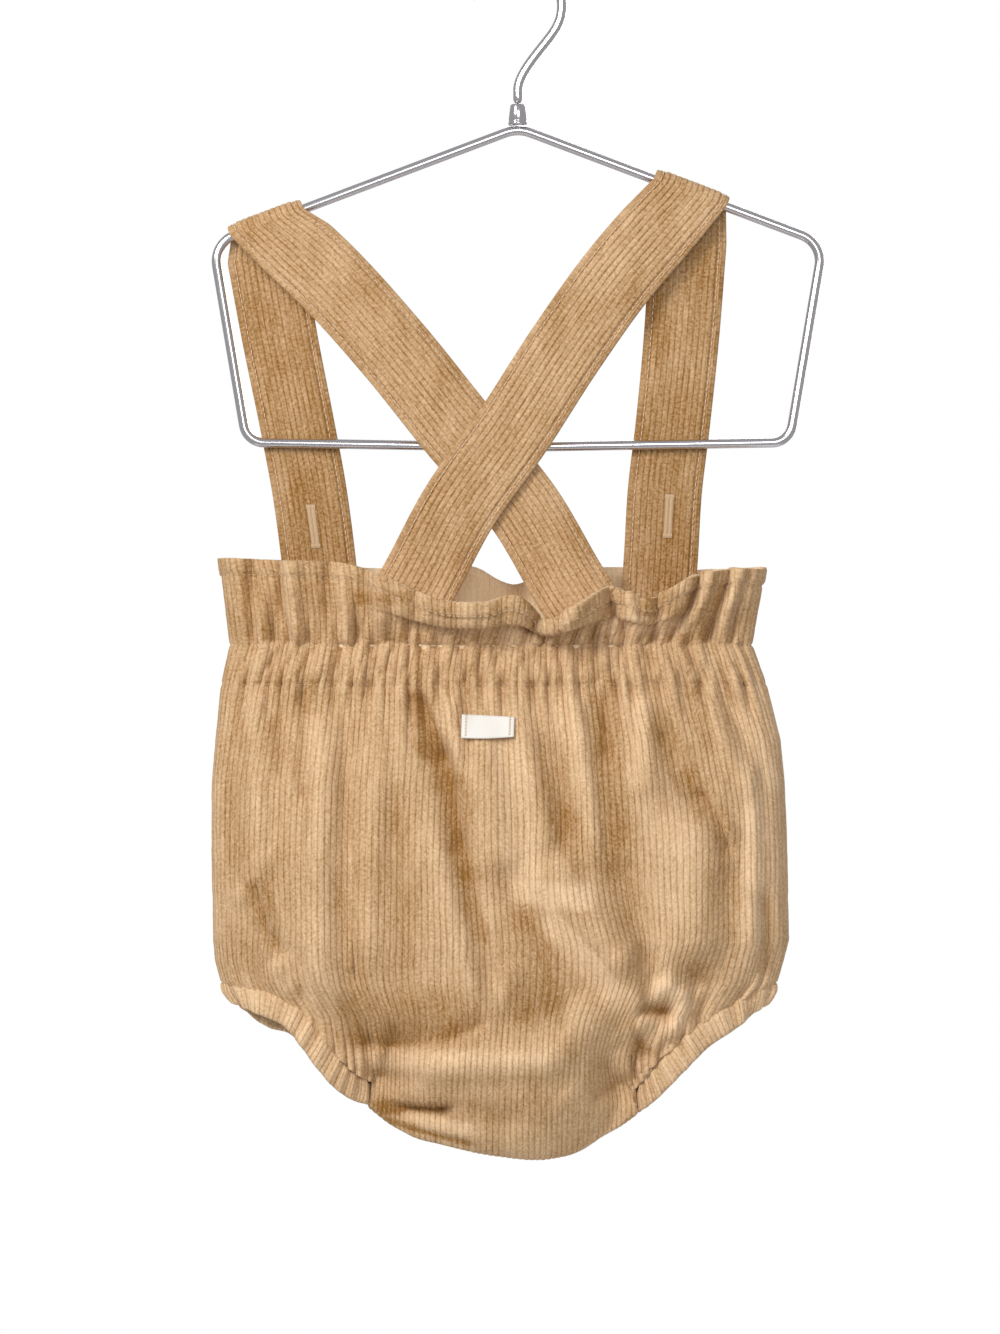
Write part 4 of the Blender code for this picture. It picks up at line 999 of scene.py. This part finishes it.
for name, plan in STRAPS.items():
    front = plan["front"]
    middle, shift = BUTTONHOLES[name]
    height = middle + np.linspace(-0.5, 0.5, SIDE_BARS) * BUTTONHOLE_LENGTH
    x, y = (np.interp(height, front["height"][::-1], front[k][::-1]) for k in ("x", "depth"))
    x = x + shift
    starts, ends, ways = [], [], []
    for face_side in (-1, 1):
        level = y + face_side * (STRAP_CLOTH / 2 + 0.5)
        for lip in (-1, 1):
            starts.append(np.stack([x, level, height], axis=1))
            ends.append(np.stack([x + lip * BUTTONHOLE_WIDTH / 2, level, height], axis=1))
        for tip in (-1, 1):
            end = 0 if tip < 0 else -1
            spots = x[end] + np.linspace(-0.5, 0.5, TIP_BARS) * BUTTONHOLE_WIDTH
            z = middle + tip * BUTTONHOLE_LENGTH / 2 * np.ones(TIP_BARS)
            here = np.full(TIP_BARS, level[end])
            starts.append(np.stack([spots, here, z - 1.1], axis=1))
            ends.append(np.stack([spots, here, z + 1.1], axis=1))
        ways.append(np.tile([0.0, face_side, 0.0], (2 * SIDE_BARS + 2 * TIP_BARS, 1)))
    hole = stitches(name.replace("strap", "buttonhole"), starts, ends, ways, 0.3, BUTTONHOLE_TONE)
    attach(hole, "root")


# The buttons inside the front waist, one to each strap: turned brown resin with a raised rim and a dished
# middle, sewn on with tan thread.
BUTTON = {"diameter": 15.0, "thickness": 2.6}
HOLE = 1.3  # how far each of its four holes lies from its middle, across and up


def lathe(name, profile, centre, axis, turns, material):
    """A profile of (radius, height) turned round an axis through a centre, closed at both poles."""
    profile = np.array(profile, float)
    turn = np.linspace(0, 2 * np.pi, turns, endpoint=False)
    axis = np.array(axis, float)
    first = np.cross(axis, (1.0, 0.3, 0.2))
    first /= np.linalg.norm(first)
    second = np.cross(axis, first)
    ring = np.cos(turn)[:, None] * first + np.sin(turn)[:, None] * second
    points = centre + profile[:, 0, None, None] * ring + profile[:, 1, None, None] * axis
    r, c = grid_quads(len(profile) - 1, turns)
    faces = (r * turns + c % turns)[:, ::-1].tolist()
    last = (len(profile) - 1) * turns
    faces += [list(range(turns))[::-1], list(range(last, last + turns))]
    return new_piece(name, points.reshape(-1, 3), faces, None, material)


def horn_material():
    """Polished brown resin with a soft darker grain."""
    made, tree, shader = new_material("button resin")
    place = add_node(tree, "ShaderNodeTexCoord").outputs["Object"]
    grain = noise_field(tree, place, 220.0, 4.0, Distortion=1.2)
    colour = mixed_colour(tree, grain, (0.16, 0.09, 0.05, 1), (0.55, 0.38, 0.24, 1))
    set_inputs(tree, shader, {"Base Color": colour, "Roughness": 0.35})
    return made


HORN = horn_material()
for side in ("left", "right"):
    low, high = (np.array(corner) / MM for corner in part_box(f"button_{side}"))
    centre = (low + high) / 2
    radius, half = BUTTON["diameter"] / 2, BUTTON["thickness"] / 2
    profile = [
        (0.1, -half), (radius - 1.2, -half), (radius - 0.3, -half + 0.5), (radius, 0),
        (radius - 0.2, half - 0.4), (radius - 0.9, half), (radius - 1.8, half - 0.15),
        (radius - 2.6, half - 0.8), (0.1, half - 0.9),
    ]
    button = lathe(f"button_{side}_resin", profile, centre, (0, -1, 0), 48, HORN)
    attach(button, "root")
    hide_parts(f"button_{side}")
    level = centre[1] - (half - 0.75)
    # Three turns of thread between each two holes
    starts = np.array([
        (centre[0] - HOLE, level, centre[2] + k + turn) for k in (-HOLE, HOLE) for turn in (-0.35, 0, 0.35)
    ])
    ways = np.tile([0.0, -1.0, 0.0], (len(starts), 1))
    sewn = stitches(f"button_{side}_thread", [starts], [starts + (2 * HOLE, 0, 0)], [ways], 0.25, THREAD_TONE)
    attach(sewn, "root")


# The woven label below the casing: a strip of plain cream tape, sewn down by its two short ends.
LABEL_ROWS, LABEL_COLUMNS = 15, 31
LABEL_HALF = 0.3  # half of its thickness


def label_material():
    """Woven tape: fine warp and weft threads over and under one another."""
    made, tree, shader = new_material("woven label")
    weave = add_node(tree, "ShaderNodeUVMap", uv_map="cloth").outputs["UV"]
    checks = add_node(tree, "ShaderNodeTexChecker", {"Vector": weave, "Scale": 11.0}).outputs["Fac"]
    noise = noise_field(tree, weave, 6.0, 3.0)
    set_inputs(tree, shader, {
        "Base Color": mixed_colour(tree, noise, (0.74, 0.71, 0.65, 1), (0.90, 0.88, 0.84, 1)),
        "Normal": bumps(tree, checks, 0.25, 0.0002),
        "Roughness": 0.85,
        "Sheen Weight": 0.1,
    })
    return made


low, high = (np.array(corner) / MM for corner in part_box("label"))
s, t = np.mgrid[0:1:LABEL_ROWS * 1j, 0:1:LABEL_COLUMNS * 1j]
x = low[0] + 1.6 + (high[0] - low[0] - 3.2) * t - 0.3 * s
z = high[2] - 0.4 - 10.0 * s - 1.1 * t * (1 - s) + 0.5 * t * s - 0.4 * np.sin(np.pi * t) * s
# It lies on the crests of the cloth behind its two long edges, and bows off them a little in its middle
crests = []
for edge in (0, -1):
    near = cloth_front[np.abs(cloth_front[:, 2] - z[edge].mean()) < 3]
    crest = np.array([near[np.abs(near[:, 0] - at) < 3.5, 1].min() for at in x[edge]])
    crests.append(np.convolve(np.pad(crest, 4, mode="edge"), np.ones(9) / 9, mode="valid"))
bow = 0.5 * np.sin(np.pi * t) * (0.6 + 0.4 * s) + 0.2 * s
middle = np.stack([x, crests[0] * (1 - s) + crests[1] * s - 0.7 - bow, z], axis=-1)
normal = outward(middle)
LABEL_TAPE = label_material()
uv = np.stack([t * 26, s * 12], axis=-1)
faces = (middle + LABEL_HALF * normal, middle - LABEL_HALF * normal)
tape = cloth_shell("label_tape_cloth", *faces, uv, LABEL_TAPE, LABEL_TAPE, None, 2, 2)
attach(tape, "root")
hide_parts("label")
rows = np.linspace(0.08, 0.92, 7)
starts, ends, ways = [], [], []
for column, lean in ((2, 0.6), (LABEL_COLUMNS - 4, 0.9)):
    line = np.stack([np.interp(rows, s[:, 0], middle[:, column, k]) for k in range(3)], axis=1)
    starts.append(line + 0.4 * normal[7, column])
    ends.append(line + 0.4 * normal[7, column] + (lean, 0, 1.0))
    ways.append(np.tile(normal[7, column], (7, 1)))
tacks = stitches("label_stitches", starts, ends, ways, 0.2, BUTTONHOLE_TONE)
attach(tacks, "root")


# The hanger: one polished steel wire bent to shoulders and a bar, with a turned collar on its top that holds
# the separate hook.
SHOULDER_REACH = 132.6
BAR_HEIGHT = -208.7
BAR_REACH = 118.0
HOOK_BORE = 34.0
APEX_RADIUS = 16.0


def bent_wire(name, path, closed, material, sides=20):
    """A round rod swept along a flat path: rings square to it, and domed ends where it is open."""
    run = walked(path)
    if closed:
        tangent = np.roll(path, -1, axis=0) - np.roll(path, 1, axis=0)
        size = np.full(len(path), WIRE / 2)
    else:
        dome = np.minimum(run, run[-1] - run)
        size = WIRE / 2 * np.sqrt(1 - (1 - np.clip(dome / (WIRE / 2), 0.003, 1)) ** 2)
        tangent = np.gradient(path, run, axis=0)
    tangent /= np.linalg.norm(tangent, axis=1)[:, None]
    side_way = np.stack([-tangent[:, 1], 0 * size, tangent[:, 0]], axis=1)
    turn = np.linspace(0, 2 * np.pi, sides, endpoint=False)
    ring = np.cos(turn)[None, :, None] * side_way[:, None] + np.sin(turn)[None, :, None] * np.array([0, 1, 0])
    spine = np.stack([path[:, 0], 0 * size, path[:, 1]], axis=1)
    points = spine[:, None] + size[:, None, None] * ring
    r, c = grid_quads(len(path) - (0 if closed else 1), sides)
    faces = ((r % len(path)) * sides + c % sides).tolist()
    if not closed:
        last = (len(path) - 1) * sides
        faces += [list(range(sides))[::-1], list(range(last, last + sides))]
    return new_piece(name, points.reshape(-1, 3), faces, None, material)


def rounded(corners, radii, step):
    """A closed outline of straight sides, its corners rounded to arcs, with points about `step` apart."""
    corners = [np.array(c, float) for c in corners]
    points = []
    for i, (corner, radius) in enumerate(zip(corners, radii)):
        before = corners[i - 1] - corner
        after = corners[(i + 1) % len(corners)] - corner
        before /= np.linalg.norm(before)
        after /= np.linalg.norm(after)
        half = math.acos(np.clip(before @ after, -1, 1)) / 2
        middle = (before + after) / np.linalg.norm(before + after)
        centre = corner + middle * radius / math.sin(half)
        start = corner + before * radius / math.tan(half) - centre
        end = corner + after * radius / math.tan(half) - centre
        sweep = math.pi - 2 * half
        share = np.linspace(0, 1, 15)[:, None]
        mix = np.sin((1 - share) * sweep) * start + np.sin(share * sweep) * end
        points.append(centre + mix / math.sin(sweep))
    line = np.concatenate(points + [points[0][:1]])
    run = walked(line)
    return read_at(np.arange(0, run[-1] - step / 2, step), run, line)


def chrome_material():
    """Polished chrome with faint drawing marks."""
    made, tree, shader = new_material("polished wire")
    place = add_node(tree, "ShaderNodeTexCoord").outputs["Object"]
    marks = noise_field(tree, place, 180.0, 3.0)
    rough = add_node(tree, "ShaderNodeMapRange", {"Value": marks, "To Min": 0.10, "To Max": 0.24}).outputs[0]
    set_inputs(tree, shader, {"Base Color": (0.62, 0.60, 0.62, 1), "Metallic": 1.0, "Roughness": rough})
    return made


CHROME = chrome_material()
tip_height = APEX_HEIGHT - SHOULDER_REACH * math.tan(SHOULDER_SLOPE)
corners = [
    (0, APEX_HEIGHT), (SHOULDER_REACH, tip_height), (BAR_REACH, BAR_HEIGHT + 2), (0, BAR_HEIGHT),
    (-BAR_REACH, BAR_HEIGHT + 2), (-SHOULDER_REACH, tip_height),
]
outline = rounded(corners, (APEX_RADIUS, 12, 9, 900, 9, 12), 1.5)
shoulders = bent_wire("hanger_frame_wire", outline, True, CHROME)
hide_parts("hanger_frame")

low, high = (np.array(corner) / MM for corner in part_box("hook_collar"))
profile = [
    (0.1, 0), (3.9, 0), (4.2, 0.35), (4.15, 1.2), (3.9, 1.5), (3.9, 2.0), (4.05, 2.3), (3.35, 8.2),
    (3.1, 8.8), (2.8, 9.0), (0.1, 9.0),
]
collar = lathe("hook_collar_turned", profile, np.array([0, 0, low[2]]), (0, 0, 1), 40, CHROME)
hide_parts("hook_collar")

ring = HOOK_BORE / 2 + WIRE / 2
turns = np.radians(np.linspace(58, 262, 90))
arc = np.stack([ring * np.sin(turns), -HOOK_BORE / 2 - ring * np.cos(turns)], axis=1)
foot = np.array([0, high[2] + SEAM])
neck = foot + (0, 6)
pull = 24.0
s = np.linspace(0, 1, 40)[:-1, None]
swerve = (
    neck * (1 + 2 * s) * (1 - s) ** 2
    + arc[0] * s**2 * (3 - 2 * s)
    + pull * s * (1 - s) ** 2 * np.array([0, 1])
    - pull * s**2 * (1 - s) * np.array([math.cos(turns[0]), math.sin(turns[0])])
)
tips = 1 - np.cos(np.linspace(0, np.pi / 2, 7))[:-1, None]
start = foot + tips * (0, WIRE / 2)
hook = bent_wire("hanger_hook_wire", np.concatenate([start, [foot + (0, 3)], swerve, arc]), False, CHROME)
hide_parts("hanger_hook")
for piece in (shoulders, collar, hook):
    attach(piece, "root")


# The studio: a plain white room, a soft lamp above on the left, a weaker one on the right, and a pale floor
# well below the hanging romper.
scene = bpy.context.scene
scene.view_settings.view_transform = "Standard"
world = bpy.data.worlds.new("white room")
world.use_nodes = True
tree = world.node_tree
tree.nodes.clear()
seen = add_node(tree, "ShaderNodeBackground", {"Color": (1, 1, 1, 1), "Strength": 1.0})
room = add_node(tree, "ShaderNodeBackground", {"Color": (0.98, 0.985, 1, 1), "Strength": 0.47})
path = add_node(tree, "ShaderNodeLightPath")
share = path.outputs["Is Camera Ray"]
mixed = add_node(tree, "ShaderNodeMixShader", {0: share, 1: room.outputs[0], 2: seen.outputs[0]})
add_node(tree, "ShaderNodeOutputWorld", {"Surface": mixed.outputs[0]})
scene.world = world


def soft_lamp(name, place, target, size, power, colour):
    """A square area lamp aimed at a point."""
    lamp = bpy.data.lights.new(name, "AREA")
    lamp.shape = "SQUARE"
    lamp.size = size
    lamp.energy = power
    lamp.color = colour
    made = bpy.data.objects.new(name, lamp)
    scene.collection.objects.link(made)
    place, target = np.array(place), np.array(target)
    way = place - target
    made.location = place
    tilt, turn = math.acos(way[2] / np.linalg.norm(way)), math.atan2(way[1], way[0])
    made.rotation_euler = (tilt, 0, turn + math.pi / 2)


soft_lamp("key lamp", (-0.9, -1.2, 0.45), (0, 0, -0.35), 0.6, 17.5, (1.0, 0.975, 0.94))
soft_lamp("fill lamp", (0.15, -1.7, 0.15), (0, 0, -0.35), 0.6, 8.0, (0.98, 0.985, 1.0))
soft_lamp("far side lamp", (0.4, 1.6, 0.2), (0, 0, -0.35), 0.9, 13.0, (1.0, 0.985, 0.96))

FLOOR_HEIGHT, FLOOR_RADIUS, FLOOR_CORNERS = -0.95, 0.55, 96
ring = np.linspace(0, 2 * np.pi, FLOOR_CORNERS, endpoint=False)
disc = np.stack([
    FLOOR_RADIUS * np.cos(ring), FLOOR_RADIUS * np.sin(ring), np.full(FLOOR_CORNERS, FLOOR_HEIGHT)
], axis=1) / MM
pale, tree, shader = new_material("pale floor")
set_inputs(tree, shader, {"Base Color": (0.88, 0.88, 0.88, 1), "Roughness": 0.9})
floor = new_piece("studio_floor", disc, [list(range(FLOOR_CORNERS))], None, pale)

# The camera: level, square to the back, its picture 434.8 mm by 580 mm where the hanger is.
PICTURE_HEIGHT, SENSOR = 0.580, 36.0
CAMERA_AWAY = 1.8
lens = bpy.data.cameras.new("camera")
lens.sensor_fit = "VERTICAL"
lens.sensor_height = SENSOR
lens.lens = SENSOR * CAMERA_AWAY / PICTURE_HEIGHT
camera = bpy.data.objects.new("camera", lens)
camera.location = (-0.0078, -CAMERA_AWAY, -0.3043)
camera.rotation_euler = (math.pi / 2, 0, 0)
scene.collection.objects.link(camera)
scene.camera = camera
